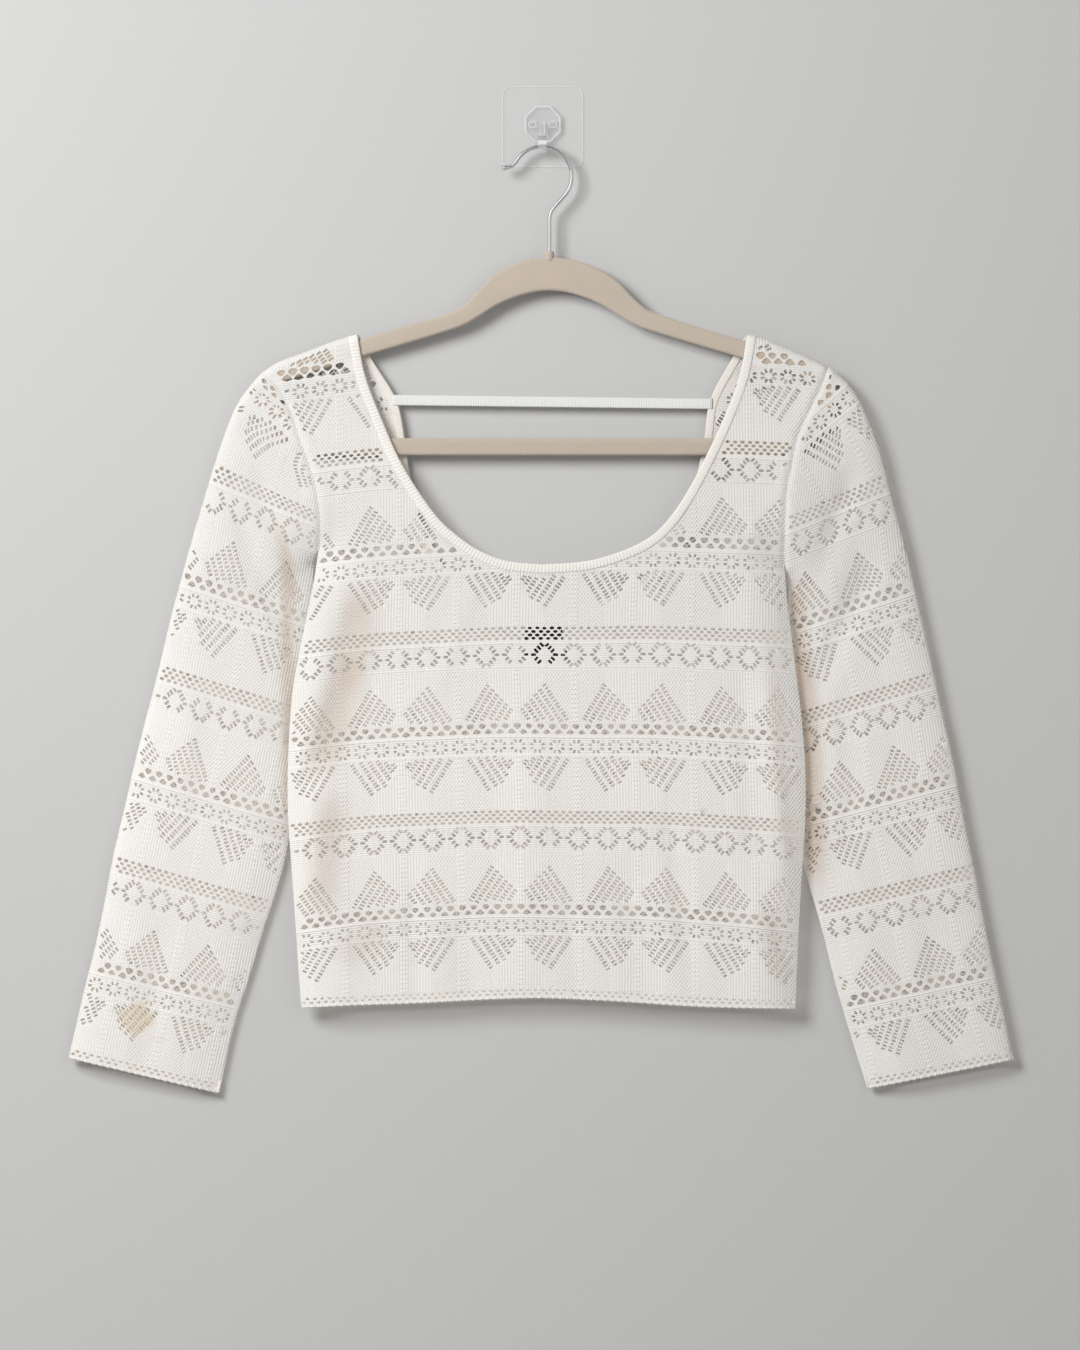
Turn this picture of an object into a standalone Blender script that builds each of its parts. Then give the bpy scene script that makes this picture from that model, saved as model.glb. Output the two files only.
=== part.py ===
"""Crochet top on a velvet hanger, which hangs by its wire hook from a clear adhesive wall hook.

Metres, +Z up. The origin is the centre of the adhesive plate's back face, so the wall is the plane
y = 0 and everything hangs in front of it, at negative y. +X is to the right as one faces the wall.
The tables are in millimetres. Left and right are as one faces the top from the front.

Each cloth piece is an open sheet with an even wall. Front and back are drawn as flat outlines, and
one rule gives every sheet its depth: it swells away from the seams and folds that close it (the
shoulders, the sides, the outer and inner folds of the sleeves), and its open edges (neck, armhole,
hem, cuff) stay open.
"""

import math
from collections import namedtuple

import bmesh
import bpy
from mathutils import Vector

MM = 0.001

# ---- named sizes, in millimetres ------------------------------------------------------------
CLOTH_WALL = 1.2  # lace knit
FOLD_WALL = 2.0  # the cloth turned up once at hem and cuff
BINDING_WALL = 2.2
TAPE_WALL = 1.6
GAP = 0.3  # between pieces that are sewn together
HANG_Y = -12.0  # the plane of the hanger and of the wire hook
SEAM_HALF = (CLOTH_WALL + GAP) / 2  # from the middle plane to each sheet where front meets back

SHOULDER_REACH = 5.0  # how soon the cloth reaches its full depth: over the hanger's arm
SIDE_REACH = 40.0  # at the side seams and at the sleeves' inner fold
FOLD_REACH = 30.0  # at the sleeves' outer fold, below the head
HUG_DEPTH = 3.7  # full depth over the hanger's arm
FRONT_DEPTH = 9.0  # full depth of the front at the chest and below
BACK_DEPTH = 5.0
SLEEVE_FRONT_DEPTH = 5.6
SLEEVE_BACK_DEPTH = 4.0
SIDE_FORWARD = 3.2  # the side seams hang this much nearer the front than the hanger
SLEEVE_BACK_OUTER = 3.6  # the sleeves hang this much nearer the wall, at their outer fold
SLEEVE_BACK_INNER = 6.0  # and at their inner fold, which tucks in behind the body's side
SEAM_CLEAR = 0.9  # the sleeve's head starts this far past the armhole edge

BINDING_WIDTH = 7.0
TAPE_WIDTH = 6.0
HEM_HEIGHT = 9.0
STRAP_WIDTH = 7.8
STRAP_LEFT_Z, STRAP_RIGHT_Z = -205.6, -208.4
STRAP_WALL = 1.5
LABEL_WIDTH, LABEL_HEIGHT, LABEL_WALL = 28.0, 41.0, 0.8

HANGER_WALL = 6.0
HANGER_CENTRE_X = 5.5
BAR_TOP, BAR_BOTTOM = -234.2, -247.2
WIRE_RADIUS = 1.5
LOOP_RADIUS, LOOP_X, LOOP_Z = 22.3, -0.5, -37.8
SHANK_X, SHANK_FOOT, SHANK_HEAD = 5.2, -94.2, -68.0
COLLAR_RADIUS, COLLAR_HEIGHT = 3.6, 4.2

PLATE_SIDE, PLATE_WALL, PLATE_CORNER = 61.0, 1.2, 6.5
BOSS_WIDTH, BOSS_DEPTH = 27.0, 3.0
ARM_WIDTH, ARM_WALL = 6.4, 3.2

# ---- tables, in millimetres -----------------------------------------------------------------
Side = namedtuple("Side", "left_x left_z right_x right_z")
# down each side seam, from the underarm to the bottom corner of the hem
SIDES = [
    Side(-167.6, -316.7, 181.2, -330.0),
    Side(-170.4, -335.0, 182.4, -346.0),
    Side(-173.6, -354.0, 184.0, -364.0),
    Side(-177.6, -372.5, 186.4, -381.0),
    Side(-183.0, -398.0, 190.2, -412.0),
    Side(-187.6, -427.0, 194.2, -445.0),
    Side(-190.6, -472.0, 197.0, -484.0),
    Side(-190.8, -515.0, 196.8, -523.0),
    Side(-188.0, -558.0, 194.4, -560.0),
    Side(-185.2, -598.0, 192.2, -598.0),
    Side(-182.8, -634.0, 190.6, -634.0),
    Side(-181.0, -661.0, 189.4, -661.8),
]
Armhole = namedtuple("Armhole", "left_x left_z right_x right_z")
# up each armhole seam, from the underarm to the tip of the shoulder
ARMHOLES = [
    Armhole(-167.6, -316.7, 181.2, -330.0),
    Armhole(-166.5, -303.0, 181.6, -308.0),
    Armhole(-167.2, -289.0, 182.2, -290.0),
    Armhole(-170.4, -269.0, 183.6, -272.0),
    Armhole(-175.9, -251.0, 187.6, -252.0),
    Armhole(-182.4, -233.5, 191.4, -233.5),
    Armhole(-187.6, -217.0, 197.6, -219.5),
    Armhole(-193.9, -203.0, 204.6, -205.0),
    Armhole(-201.0, -192.8, 209.4, -194.6),
    Armhole(-209.6, -185.0, 214.6, -181.6),
]
Neck = namedtuple("Neck", "left right z")
# the front scoop, from its lowest point up to the shoulder seam
FRONT_NECK = [
    Neck(0.0, 0.0, -329.2),
    Neck(-26.0, 32.5, -326.6),
    Neck(-46.0, 58.5, -319.4),
    Neck(-62.0, 79.8, -309.0),
    Neck(-77.4, 94.2, -295.4),
    Neck(-92.6, 108.2, -275.0),
    Neck(-107.5, 121.5, -250.0),
    Neck(-120.6, 135.6, -220.0),
    Neck(-132.8, 147.6, -188.0),
    Neck(-138.9, 153.6, -156.6),
]
# the back scoop, deeper
BACK_NECK = [
    Neck(0.0, 0.0, -362.0),
    Neck(-30.0, 34.0, -358.6),
    Neck(-58.0, 66.0, -346.0),
    Neck(-80.0, 92.0, -322.0),
    Neck(-93.0, 108.0, -292.0),
    Neck(-100.2, 116.6, -259.0),
    Neck(-103.6, 121.6, -234.0),
    Neck(-110.2, 126.2, -204.6),
    Neck(-129.0, 142.6, -174.0),
    Neck(-137.6, 152.4, -157.4),
]
Shoulder = namedtuple("Shoulder", "left_x left_z right_x right_z")
# along each shoulder seam, from the neck to the tip, over the hanger's arm
SHOULDERS = [
    Shoulder(-138.9, -156.6, 153.6, -156.6),
    Shoulder(-155.4, -161.4, 167.5, -160.4),
    Shoulder(-179.6, -170.6, 181.8, -166.4),
    Shoulder(-198.0, -177.4, 200.4, -174.6),
    Shoulder(-209.6, -185.0, 214.6, -181.6),
]
Hem = namedtuple("Hem", "x z")
HEMS = [
    Hem(-181.0, -661.0),
    Hem(-143.0, -659.0),
    Hem(-90.0, -657.2),
    Hem(-37.0, -654.4),
    Hem(2.0, -653.6),
    Hem(51.0, -655.7),
    Hem(118.0, -660.0),
    Hem(189.4, -661.8),
]
Section = namedtuple("Section", "outer_x outer_z inner_x inner_z curve")
# each sleeve, a row for each line across it; curve is how much of the armhole's bend it keeps
SLEEVE_LEFT = [
    Section(-209.6, -184.4, -167.6, -316.7, 1.0),
    Section(-219.6, -195.6, -170.8, -321.4, 0.9),
    Section(-231.0, -212.6, -172.2, -330.0, 0.75),
    Section(-241.2, -239.4, -172.6, -342.5, 0.5),
    Section(-251.3, -271.6, -172.2, -355.0, 0.28),
    Section(-263.6, -313.0, -172.4, -370.0, 0.1),
    Section(-278.0, -366.0, -176.2, -397.0, 0.0),
    Section(-287.4, -406.0, -181.0, -430.0, 0.0),
    Section(-296.2, -440.0, -184.0, -466.0, 0.0),
    Section(-305.6, -477.0, -185.6, -505.0, 0.0),
    Section(-313.1, -510.0, -191.4, -538.0, 0.0),
    Section(-321.4, -545.0, -198.6, -568.0, 0.0),
    Section(-328.8, -584.0, -211.8, -609.0, 0.0),
    Section(-336.0, -618.0, -221.4, -641.0, 0.0),
    Section(-343.6, -648.0, -231.6, -673.0, 0.0),
    Section(-355.4, -698.8, -243.2, -725.4, 0.0),
]
SLEEVE_RIGHT = [
    Section(214.6, -181.0, 181.2, -330.0, 1.0),
    Section(227.8, -191.6, 184.2, -334.8, 0.9),
    Section(240.4, -210.0, 185.2, -344.0, 0.75),
    Section(253.4, -243.0, 184.8, -357.0, 0.5),
    Section(262.6, -279.0, 183.4, -371.0, 0.28),
    Section(272.6, -316.0, 183.2, -384.0, 0.1),
    Section(282.2, -357.0, 184.0, -404.0, 0.0),
    Section(291.4, -398.0, 186.4, -432.0, 0.0),
    Section(299.8, -437.0, 189.4, -463.0, 0.0),
    Section(309.0, -478.0, 191.0, -502.0, 0.0),
    Section(316.2, -517.0, 193.0, -538.0, 0.0),
    Section(325.2, -561.0, 200.2, -568.0, 0.0),
    Section(334.0, -607.0, 210.0, -602.0, 0.0),
    Section(341.2, -641.0, 220.2, -643.0, 0.0),
    Section(346.8, -667.0, 229.8, -676.0, 0.0),
    Section(353.4, -700.0, 244.2, -722.0, 0.0),
]
Fold = namedtuple("Fold", "x0 z0 x1 z1 half_width depth")
# soft troughs (depth over 0, into the cloth) and ridges (under 0), each along a line
FRONT_FOLDS = [
    Fold(-149.0, -372.0, -156.0, -438.0, 17.0, 3.0),
    Fold(-158.0, -436.0, -178.0, -500.0, 15.0, 2.4),
    Fold(-128.0, -340.0, -132.0, -400.0, 15.0, -1.2),
    Fold(152.0, -400.0, 164.0, -560.0, 18.0, 1.6),
    Fold(66.0, -560.0, 78.0, -655.0, 22.0, 1.4),
    Fold(-60.0, -600.0, -52.0, -656.0, 20.0, 1.6),
    Fold(-8.0, -470.0, -16.0, -655.0, 26.0, -1.0),
]
BACK_FOLDS = [
    Fold(-120.0, -400.0, -134.0, -560.0, 20.0, 1.4),
    Fold(118.0, -420.0, 130.0, -600.0, 22.0, 1.2),
]
SLEEVE_LEFT_FOLDS = [
    Fold(-214.0, -262.0, -190.0, -340.0, 14.0, 1.8),
    Fold(-226.0, -300.0, -188.0, -390.0, 14.0, 1.8),
    Fold(-262.0, -420.0, -276.0, -520.0, 18.0, -1.0),
    Fold(-286.0, -600.0, -296.0, -700.0, 18.0, 1.4),
]
SLEEVE_RIGHT_FOLDS = [
    Fold(232.0, -262.0, 204.0, -340.0, 14.0, 1.8),
    Fold(246.0, -330.0, 206.0, -420.0, 16.0, 1.8),
    Fold(226.0, -430.0, 232.0, -540.0, 16.0, 1.4),
    Fold(268.0, -560.0, 286.0, -660.0, 18.0, -1.0),
]
Reach = namedtuple("Reach", "reach top low right")
# the hanger's arm by its reach from the hook's line: its top, its low edge, and how much higher its
# top is on the right
HANGER = [
    Reach(0.0, -98.4, -123.4, 0.0),
    Reach(10.0, -99.1, -124.2, 0.0),
    Reach(20.0, -101.2, -126.6, 0.2),
    Reach(30.0, -104.6, -130.0, 0.4),
    Reach(41.0, -110.8, -135.2, 1.8),
    Reach(52.6, -121.8, -142.9, 4.0),
    Reach(64.0, -134.4, -149.6, 4.2),
    Reach(74.0, -140.4, -153.2, 1.6),
    Reach(106.0, -149.3, -162.9, 0.0),
    Reach(144.0, -160.6, -174.0, 0.0),
    Reach(180.0, -172.2, -185.6, 0.0),
    Reach(203.0, -180.8, -193.0, 0.0),
]
HangerEnd = namedtuple("HangerEnd", "reach z")
# round the tip and down to the bar: the outer edge, then the inner one
HANGER_OUTER_END = [
    HangerEnd(210.6, -185.6),
    HangerEnd(215.2, -193.6),
    HangerEnd(215.8, -203.0),
    HangerEnd(212.0, -217.0),
    HangerEnd(204.0, -231.0),
    HangerEnd(192.0, -241.4),
    HangerEnd(176.0, -247.2),
]
HANGER_INNER_END = [
    HangerEnd(170.0, -234.2),
    HangerEnd(184.0, -230.0),
    HangerEnd(194.0, -221.6),
    HangerEnd(201.0, -210.0),
    HangerEnd(203.4, -200.0),
]


# ---- plane geometry -------------------------------------------------------------------------
def lerp(a, b, t):
    return a + (b - a) * t


def step(x, low, high):
    """0 below low, 1 above high, and smooth between."""
    t = min(max((x - low) / (high - low), 0.0), 1.0)
    return t * t * (3 - 2 * t)


def through(points, count):
    """count + 1 points, evenly spaced, on a smooth curve through these."""
    ends = [2 * points[0] - points[1]] + points + [2 * points[-1] - points[-2]]
    fine = []
    for i in range(1, len(ends) - 2):
        p0, p1, p2, p3 = ends[i - 1 : i + 3]
        k = 16
        for j in range(k):
            t = j / k
            fine.append(
                0.5
                * (
                    2 * p1
                    + (p2 - p0) * t
                    + (2 * p0 - 5 * p1 + 4 * p2 - p3) * t * t
                    + (3 * p1 - p0 - 3 * p2 + p3) * t**3
                )
            )
    fine.append(points[-1])
    far = [0.0]
    for a, b in zip(fine, fine[1:]):
        far.append(far[-1] + (b - a).length)
    out, k = [], 0
    for i in range(count + 1):
        want = far[-1] * i / count
        while k < len(far) - 2 and far[k + 1] < want:
            k += 1
        out.append(fine[k].lerp(fine[k + 1], (want - far[k]) / (far[k + 1] - far[k])))
    return out


def at(points, share):
    """The point at this share of a polyline with even steps."""
    f = min(max(share, 0.0), 1.0) * (len(points) - 1)
    i = min(int(f), len(points) - 2)
    return points[i].lerp(points[i + 1], f - i)


def off_line(p, line):
    """How far p is from a polyline, and at what share of it."""
    best, where = 1e9, 0.0
    for i, (a, b) in enumerate(zip(line, line[1:])):
        ab = b - a
        t = min(max((p - a).dot(ab) / ab.length_squared, 0.0), 1.0)
        d = (p - (a + ab * t)).length
        if d < best:
            best, where = d, (i + t) / (len(line) - 1)
    return best, where


def offset(line, by):
    """A polyline moved sideways, to the left of its own direction."""
    out = []
    for i, p in enumerate(line):
        along = (line[min(i + 1, len(line) - 1)] - line[max(i - 1, 0)]).normalized()
        out.append(p + Vector((-along.y, along.x)) * by)
    return out


def column(rows, x, z):
    return [Vector((getattr(r, x), getattr(r, z))) for r in rows]


SIDE = {
    "L": through(column(SIDES, "left_x", "left_z"), 40),
    "R": through(column(SIDES, "right_x", "right_z"), 40),
}
ARMHOLE = {
    "L": through(column(ARMHOLES, "left_x", "left_z"), 40),
    "R": through(column(ARMHOLES, "right_x", "right_z"), 40),
}
SHOULDER = {
    "L": through(column(SHOULDERS, "left_x", "left_z"), 20),
    "R": through(column(SHOULDERS, "right_x", "right_z"), 20),
}
OUTER = {
    "L": through(column(SLEEVE_LEFT, "outer_x", "outer_z"), 60),
    "R": through(column(SLEEVE_RIGHT, "outer_x", "outer_z"), 60),
}
INNER = {
    "L": through(column(SLEEVE_LEFT, "inner_x", "inner_z"), 60),
    "R": through(column(SLEEVE_RIGHT, "inner_x", "inner_z"), 60),
}
SECTIONS = {"L": SLEEVE_LEFT, "R": SLEEVE_RIGHT}
SLEEVE_FOLDS = {"L": SLEEVE_LEFT_FOLDS, "R": SLEEVE_RIGHT_FOLDS}


# ---- depth ----------------------------------------------------------------------------------
def swell(d, reach):
    """How much of its full depth the cloth has at this distance from a rounded fold."""
    q = min(max(d / reach, 0.0), 1.0)
    return math.sqrt(1 - (1 - q) ** 2)


def flat_swell(d, reach):
    """The same at a side seam, which lies flatter."""
    q = min(max(d / reach, 0.0), 1.0)
    return 1 - (1 - q) ** 2


def outer_reach(share):
    """The sleeve's outer fold is sharp over the hanger's tip, and rounder below."""
    return lerp(SHOULDER_REACH, FOLD_REACH, step(share, 0.05, 0.25))


def folded(p, folds):
    """How far the folds move the cloth in at p."""
    total = 0.0
    for f in folds:
        a, b = Vector((f.x0, f.z0)), Vector((f.x1, f.z1))
        ab = b - a
        t = (p - a).dot(ab) / ab.length_squared
        across = (p - (a + ab * t)).length / f.half_width
        if across >= 1:
            continue
        fade = step(t, -0.25, 0.2) * (1 - step(t, 0.8, 1.25))
        total += f.depth * fade * (1 + math.cos(math.pi * across)) / 2
    return total


def body_y(p, face):
    """The middle of the body's sheet at p. face is "front" or "back"."""
    e, side = 1.0, 1e9
    for hand in "LR":
        d, _ = off_line(p, SIDE[hand])
        side = min(side, d)
        e = min(e, flat_swell(d, SIDE_REACH))
        d, _ = off_line(p, SHOULDER[hand])
        e = min(e, swell(d, SHOULDER_REACH))
        d, share = off_line(p, OUTER[hand])
        e = min(e, swell(d, outer_reach(share)))
    below = step(-p.y, 200.0, 300.0)
    full = lerp(HUG_DEPTH, FRONT_DEPTH if face == "front" else BACK_DEPTH, below)
    mid = HANG_Y - SIDE_FORWARD * (1 - step(side, 0.0, 50.0)) * step(-p.y, 318.0, 352.0)
    half = SEAM_HALF + full * e
    if face == "front":
        return mid - half + folded(p, FRONT_FOLDS) * min(e, 1.0)
    return mid + half - folded(p, BACK_FOLDS) * min(e, 1.0)


def sleeve_y(p, face, hand, across, down):
    """The middle of a sleeve's sheet at p. across runs from the outer to the inner fold, and down is
    how far p is below the armhole seam, in millimetres."""
    d, share = off_line(p, OUTER[hand])
    e = swell(d, outer_reach(share))
    d, _ = off_line(p, INNER[hand])
    e = min(e, flat_swell(d, SIDE_REACH))
    d, _ = off_line(p, SHOULDER[hand])
    e = min(e, swell(d, SHOULDER_REACH))
    below = step(-p.y, 200.0, 300.0)
    at_seam = lerp(HUG_DEPTH, FRONT_DEPTH if face == "front" else BACK_DEPTH, below)
    own = SLEEVE_FRONT_DEPTH if face == "front" else SLEEVE_BACK_DEPTH
    full = lerp(at_seam, lerp(HUG_DEPTH, own, below), step(down, 0.0, 60.0))
    back = lerp(SLEEVE_BACK_OUTER, SLEEVE_BACK_INNER, across)
    reach = lerp(90.0, 15.0, across)
    start = lerp(30.0, 0.0, across)
    mid = HANG_Y + back * step(down, start, start + reach)
    half = SEAM_HALF + full * e
    soft = folded(p, SLEEVE_FOLDS[hand]) * e * step(down, 5.0, 40.0)
    return mid - half + soft if face == "front" else mid + half - soft * 0.5


# ---- building -------------------------------------------------------------------------------
def clear_scene():
    for ob in list(bpy.data.objects):
        bpy.data.objects.remove(ob, do_unlink=True)


def material(name, colour, roughness, metallic=0.0, alpha=1.0):
    m = bpy.data.materials.new(name)
    m.use_nodes = True
    p = m.node_tree.nodes["Principled BSDF"]
    p.inputs["Base Color"].default_value = (*colour, 1.0)
    p.inputs["Roughness"].default_value = roughness
    p.inputs["Metallic"].default_value = metallic
    p.inputs["Alpha"].default_value = alpha
    return m


def collection(name, hidden=False):
    c = bpy.data.collections.new(name)
    bpy.context.scene.collection.children.link(c)
    c.hide_render = hidden
    return c


def add(name, mesh, mat, home):
    ob = bpy.data.objects.new(name, mesh)
    ob.data.materials.append(mat)
    home.objects.link(ob)
    ob.parent = root
    return ob


def sheet(name, grid, mat, wall, closed=False, even=True):
    """An open sheet through a grid of points in millimetres, with an even wall. closed joins the last
    column to the first, which makes a tube."""
    bm = bmesh.new()
    rows = [[bm.verts.new(Vector(p) * MM) for p in row] for row in grid]
    for low, high in zip(rows, rows[1:]):
        n = len(low)
        for i in range(n if closed else n - 1):
            j = (i + 1) % n
            ring = (low[i], low[j], high[j], high[i])
            if len(set(ring)) == 4:
                bm.faces.new(ring)
    return finish_sheet(name, bm, mat, wall, even and not closed)


def finish_sheet(name, bm, mat, wall, even=True):
    bmesh.ops.remove_doubles(bm, verts=bm.verts, dist=1e-6)
    bmesh.ops.recalc_face_normals(bm, faces=bm.faces)
    mesh = bpy.data.meshes.new(name)
    bm.to_mesh(mesh)
    bm.free()
    mesh.shade_smooth()
    ob = add(name, mesh, mat, parts)
    solid = ob.modifiers.new("wall", "SOLIDIFY")
    solid.thickness = wall * MM
    solid.offset = 0.0
    solid.use_even_offset = even
    return ob


def neck_edge(rows, hand):
    return through(column(rows, "left" if hand == "L" else "right", "z"), 60)


OUTER_COLUMNS = [0.0, 0.01, 0.05, 0.15, 0.33, 0.54, 0.77, 1.0]
MIDDLE_COLUMNS = 10
ROWS_LOW = 11
# rows up the shoulder pieces and points across the sleeves, from the underarm to the shoulder: closer
# together at the inner fold and where the cloth turns over the hanger's arm
RISES = [0.0, 0.02, 0.06, 0.12, 0.21, 0.32, 0.44, 0.56, 0.68, 0.79, 0.89, 0.955, 0.975, 0.99, 1.0]
NECK_SPLIT = 0.37  # where the line from the underarm meets the neckline, as a share of its length


def patch(bottom, right, top, left, rises):
    """Rows of points between four edges. bottom and top are lists of equal length, right and left
    are polylines that run upward, and rises are the rows' shares of the way up."""
    far = [0.0]
    for a, b in zip(bottom, bottom[1:]):
        far.append(far[-1] + (b - a).length)
    rows = []
    for v in rises:
        l, r = at(left, v), at(right, v)
        row = []
        for i, (b, t) in enumerate(zip(bottom, top)):
            u = far[i] / far[-1]
            corners = (
                bottom[0] * (1 - u) * (1 - v)
                + bottom[-1] * u * (1 - v)
                + top[0] * (1 - u) * v
                + top[-1] * u * v
            )
            row.append(b * (1 - v) + t * v + l * (1 - u) + r * u - corners)
        rows.append(row)
    return rows


def neck_lines(neck, binding):
    """The panel's own edge under the binding, on each hand: the low part up to where the line from the
    underarm meets it, the high part from there to the shoulder, and that point's share of the seam."""
    low, high, starts = {}, {}, {}
    for hand in "LR":
        # away from the opening: down and out on both hands
        moved = offset(neck_edge(neck, hand), (binding + GAP) * (1 if hand == "L" else -1))
        moved[0].x = 0.0
        starts[hand] = off_line(moved[-1], SHOULDER[hand])[1]
        moved[-1] = at(SHOULDER[hand], starts[hand])
        moved = through(moved, 120)
        split = round(NECK_SPLIT * 120)
        low[hand], high[hand] = moved[: split + 1], through(moved[split:], 60)
    scoop = through(low["L"][::-1] + low["R"][1:], MIDDLE_COLUMNS)
    return scoop, high, starts


def neck_points(neck, binding):
    """The panel's neck edge from the left shoulder to the right one, at its own rows and columns."""
    scoop, high, _ = neck_lines(neck, binding)
    left = [at(high["L"], v) for v in RISES[::-1]]
    right = [at(high["R"], v) for v in RISES]
    return left + scoop[1:-1] + right


def body_panel(name, neck, binding, face, mat):
    """Front or back: one sheet from the hem fold up to both shoulders."""
    scoop, high, starts = neck_lines(neck, binding)
    under, shoulder = {}, {}
    for hand in "LR":
        arm, meet = SIDE[hand][0], high[hand][0]
        dip = arm.lerp(meet, 0.5) + Vector((0.0, -7.0))
        line = through([arm, dip, meet], 60)
        under[hand] = [at(line, u) for u in OUTER_COLUMNS]
        seam = [at(SHOULDER[hand], lerp(1.0, starts[hand], i / 40)) for i in range(41)]
        shoulder[hand] = [at(seam, u) for u in OUTER_COLUMNS]
    top = under["L"] + scoop[1:-1] + under["R"][::-1]
    # lower body, from the hem fold up to the underarms
    hem = through([Vector((h.x, h.z + HEM_HEIGHT + GAP)) for h in HEMS], 40)
    left = trimmed(SIDE["L"][::-1], hem[0].y)
    right = trimmed(SIDE["R"][::-1], hem[-1].y)
    hem[0], hem[-1] = left[0], right[0]
    far = [0.0]
    for a, b in zip(top, top[1:]):
        far.append(far[-1] + (b - a).length)
    foot = [at(hem, f / far[-1]) for f in far]
    bm = bmesh.new()
    vertex = {}

    def vert(p):
        key = (round(p.x, 3), round(p.y, 3))
        if key not in vertex:
            vertex[key] = bm.verts.new(Vector((p.x, body_y(p, face), p.y)) * MM)
        return vertex[key]

    def fill(lines):
        table = [[vert(p) for p in row] for row in lines]
        for lower, upper in zip(table, table[1:]):
            for i in range(len(lower) - 1):
                bm.faces.new((lower[i], lower[i + 1], upper[i + 1], upper[i]))

    fill(patch(foot, right, top, left, [i / ROWS_LOW for i in range(ROWS_LOW + 1)]))
    # each shoulder piece, between armhole and neck
    for hand in "LR":
        fill(patch(under[hand], high[hand], shoulder[hand], ARMHOLE[hand], RISES))
    return finish_sheet(name, bm, mat, CLOTH_WALL)


def trimmed(line, low_z):
    """The part of an upward line that is above this height, evenly spaced again."""
    kept = [p for p in line if p.y > low_z + 0.5]
    first = next(
        a.lerp(b, (low_z - a.y) / (b.y - a.y))
        for a, b in zip(line, line[1:])
        if a.y <= low_z <= b.y
    )
    return through([first] + kept, 40)


def neck_strip(name, neck, width, wall, face, mat):
    """The binding along a neckline, from shoulder seam to shoulder seam, on the panel's edge points."""
    edge = neck_points(neck, width)
    proud = (wall - CLOTH_WALL) / 2
    grid = []
    for out in (GAP, width):
        row = []
        for p in offset(edge, out):
            y = body_y(p, face) + (-proud if face == "front" else proud)
            row.append((p.x, y, p.y))
        grid.append(row)
    return sheet(name, grid, mat, wall)


def hem_strip(name, face, mat):
    """The hem fold, from side seam to side seam."""
    foot = through([Vector((h.x, h.z)) for h in HEMS], 40)
    proud = (FOLD_WALL - CLOTH_WALL) / 2
    grid = []
    shares = [0.0, 0.008, 0.025] + [i / 26 for i in range(1, 26)] + [0.975, 0.992, 1.0]
    for v in (0.0, 1.0):
        row = []
        for s in sorted(shares):
            p = at(foot, s) + Vector((0.0, HEM_HEIGHT * v))
            y = body_y(p, face) + (-proud if face == "front" else proud)
            row.append((p.x, y, p.y))
        grid.append(row)
    return sheet(name, grid, mat, FOLD_WALL)


def sleeve_lines(hand):
    """The sleeve's lines across, from the armhole down: each is a list of points from the outer to
    the inner fold, with how far it is below the armhole."""
    rows = SECTIONS[hand]
    arm = ARMHOLE[hand][::-1]
    chord_start, chord_end = arm[0], arm[-1]
    lines = []
    shares = across_shares()
    for r in rows:
        outer, inner = Vector((r.outer_x, r.outer_z)), Vector((r.inner_x, r.inner_z))
        line = []
        for w in shares:
            bend = at(arm, w) - chord_start.lerp(chord_end, w)
            line.append(outer.lerp(inner, w) + bend * r.curve)
        lines.append(line)
    return lines


def across_shares():
    """Where the points lie across a sleeve, from its outer to its inner fold."""
    return [1 - v for v in RISES[::-1]]


def sleeve_row(points, face, hand, below, extra=0.0):
    """One section across a half, from the outer to the inner fold."""
    row = []
    for p, share, down in zip(points, across_shares(), below):
        y = sleeve_y(p, face, hand, share, down)
        row.append((p.x, y - extra if face == "front" else y + extra, p.y))
    return row


def sleeve_ring(points, hand, below, extra=0.0):
    """One section as a closed ring: along the front from the outer to the inner fold, and back
    along the back."""
    front = sleeve_row(points, "front", hand, below, extra)
    return front + sleeve_row(points, "back", hand, below, extra)[::-1]


def sleeve(name, hand, mat):
    """A sleeve's front and back half, which meet at its outer and inner folds."""
    lines = sleeve_lines(hand)
    below = [[0.0] * len(lines[0])]
    for a, b in zip(lines, lines[1:]):
        below.append([d + (q - p).length for d, p, q in zip(below[-1], a, b)])
    # the first ring stands just clear of the armhole seam
    lines[0] = offset(lines[0], SEAM_CLEAR if hand == "R" else -SEAM_CLEAR)
    # the last ring ends above the cuff
    foot, above = lines[-1], lines[-2]
    rise = [(HEM_HEIGHT + GAP) / (q - p).length for p, q in zip(foot, above)]
    lines[-1] = [p.lerp(q, r) for p, q, r in zip(foot, above, rise)]
    for face in ("front", "back"):
        grid = [sleeve_row(l, face, hand, b) for l, b in zip(lines, below)]
        sheet(f"{name}_{face}", grid, mat, CLOTH_WALL, even=False)


def cuff(name, hand, mat):
    lines = sleeve_lines(hand)
    foot, above = lines[-1], lines[-2]
    top = [p.lerp(q, HEM_HEIGHT / (q - p).length) for p, q in zip(foot, above)]
    below = [400.0] * len(foot)
    proud = (FOLD_WALL - CLOTH_WALL) / 2
    rings = [sleeve_ring(l, hand, below, proud) for l in (top, foot)]
    # both folds stand out as far as the wall is thicker
    for ring in rings:
        n = len(ring) // 2
        out = proud if hand == "R" else -proud
        for i, by in ((0, out), (n - 1, -out), (n, -out), (2 * n - 1, out)):
            ring[i] = (ring[i][0] + by, ring[i][1], ring[i][2])
    return sheet(name, rings, mat, FOLD_WALL, closed=True)


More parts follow.
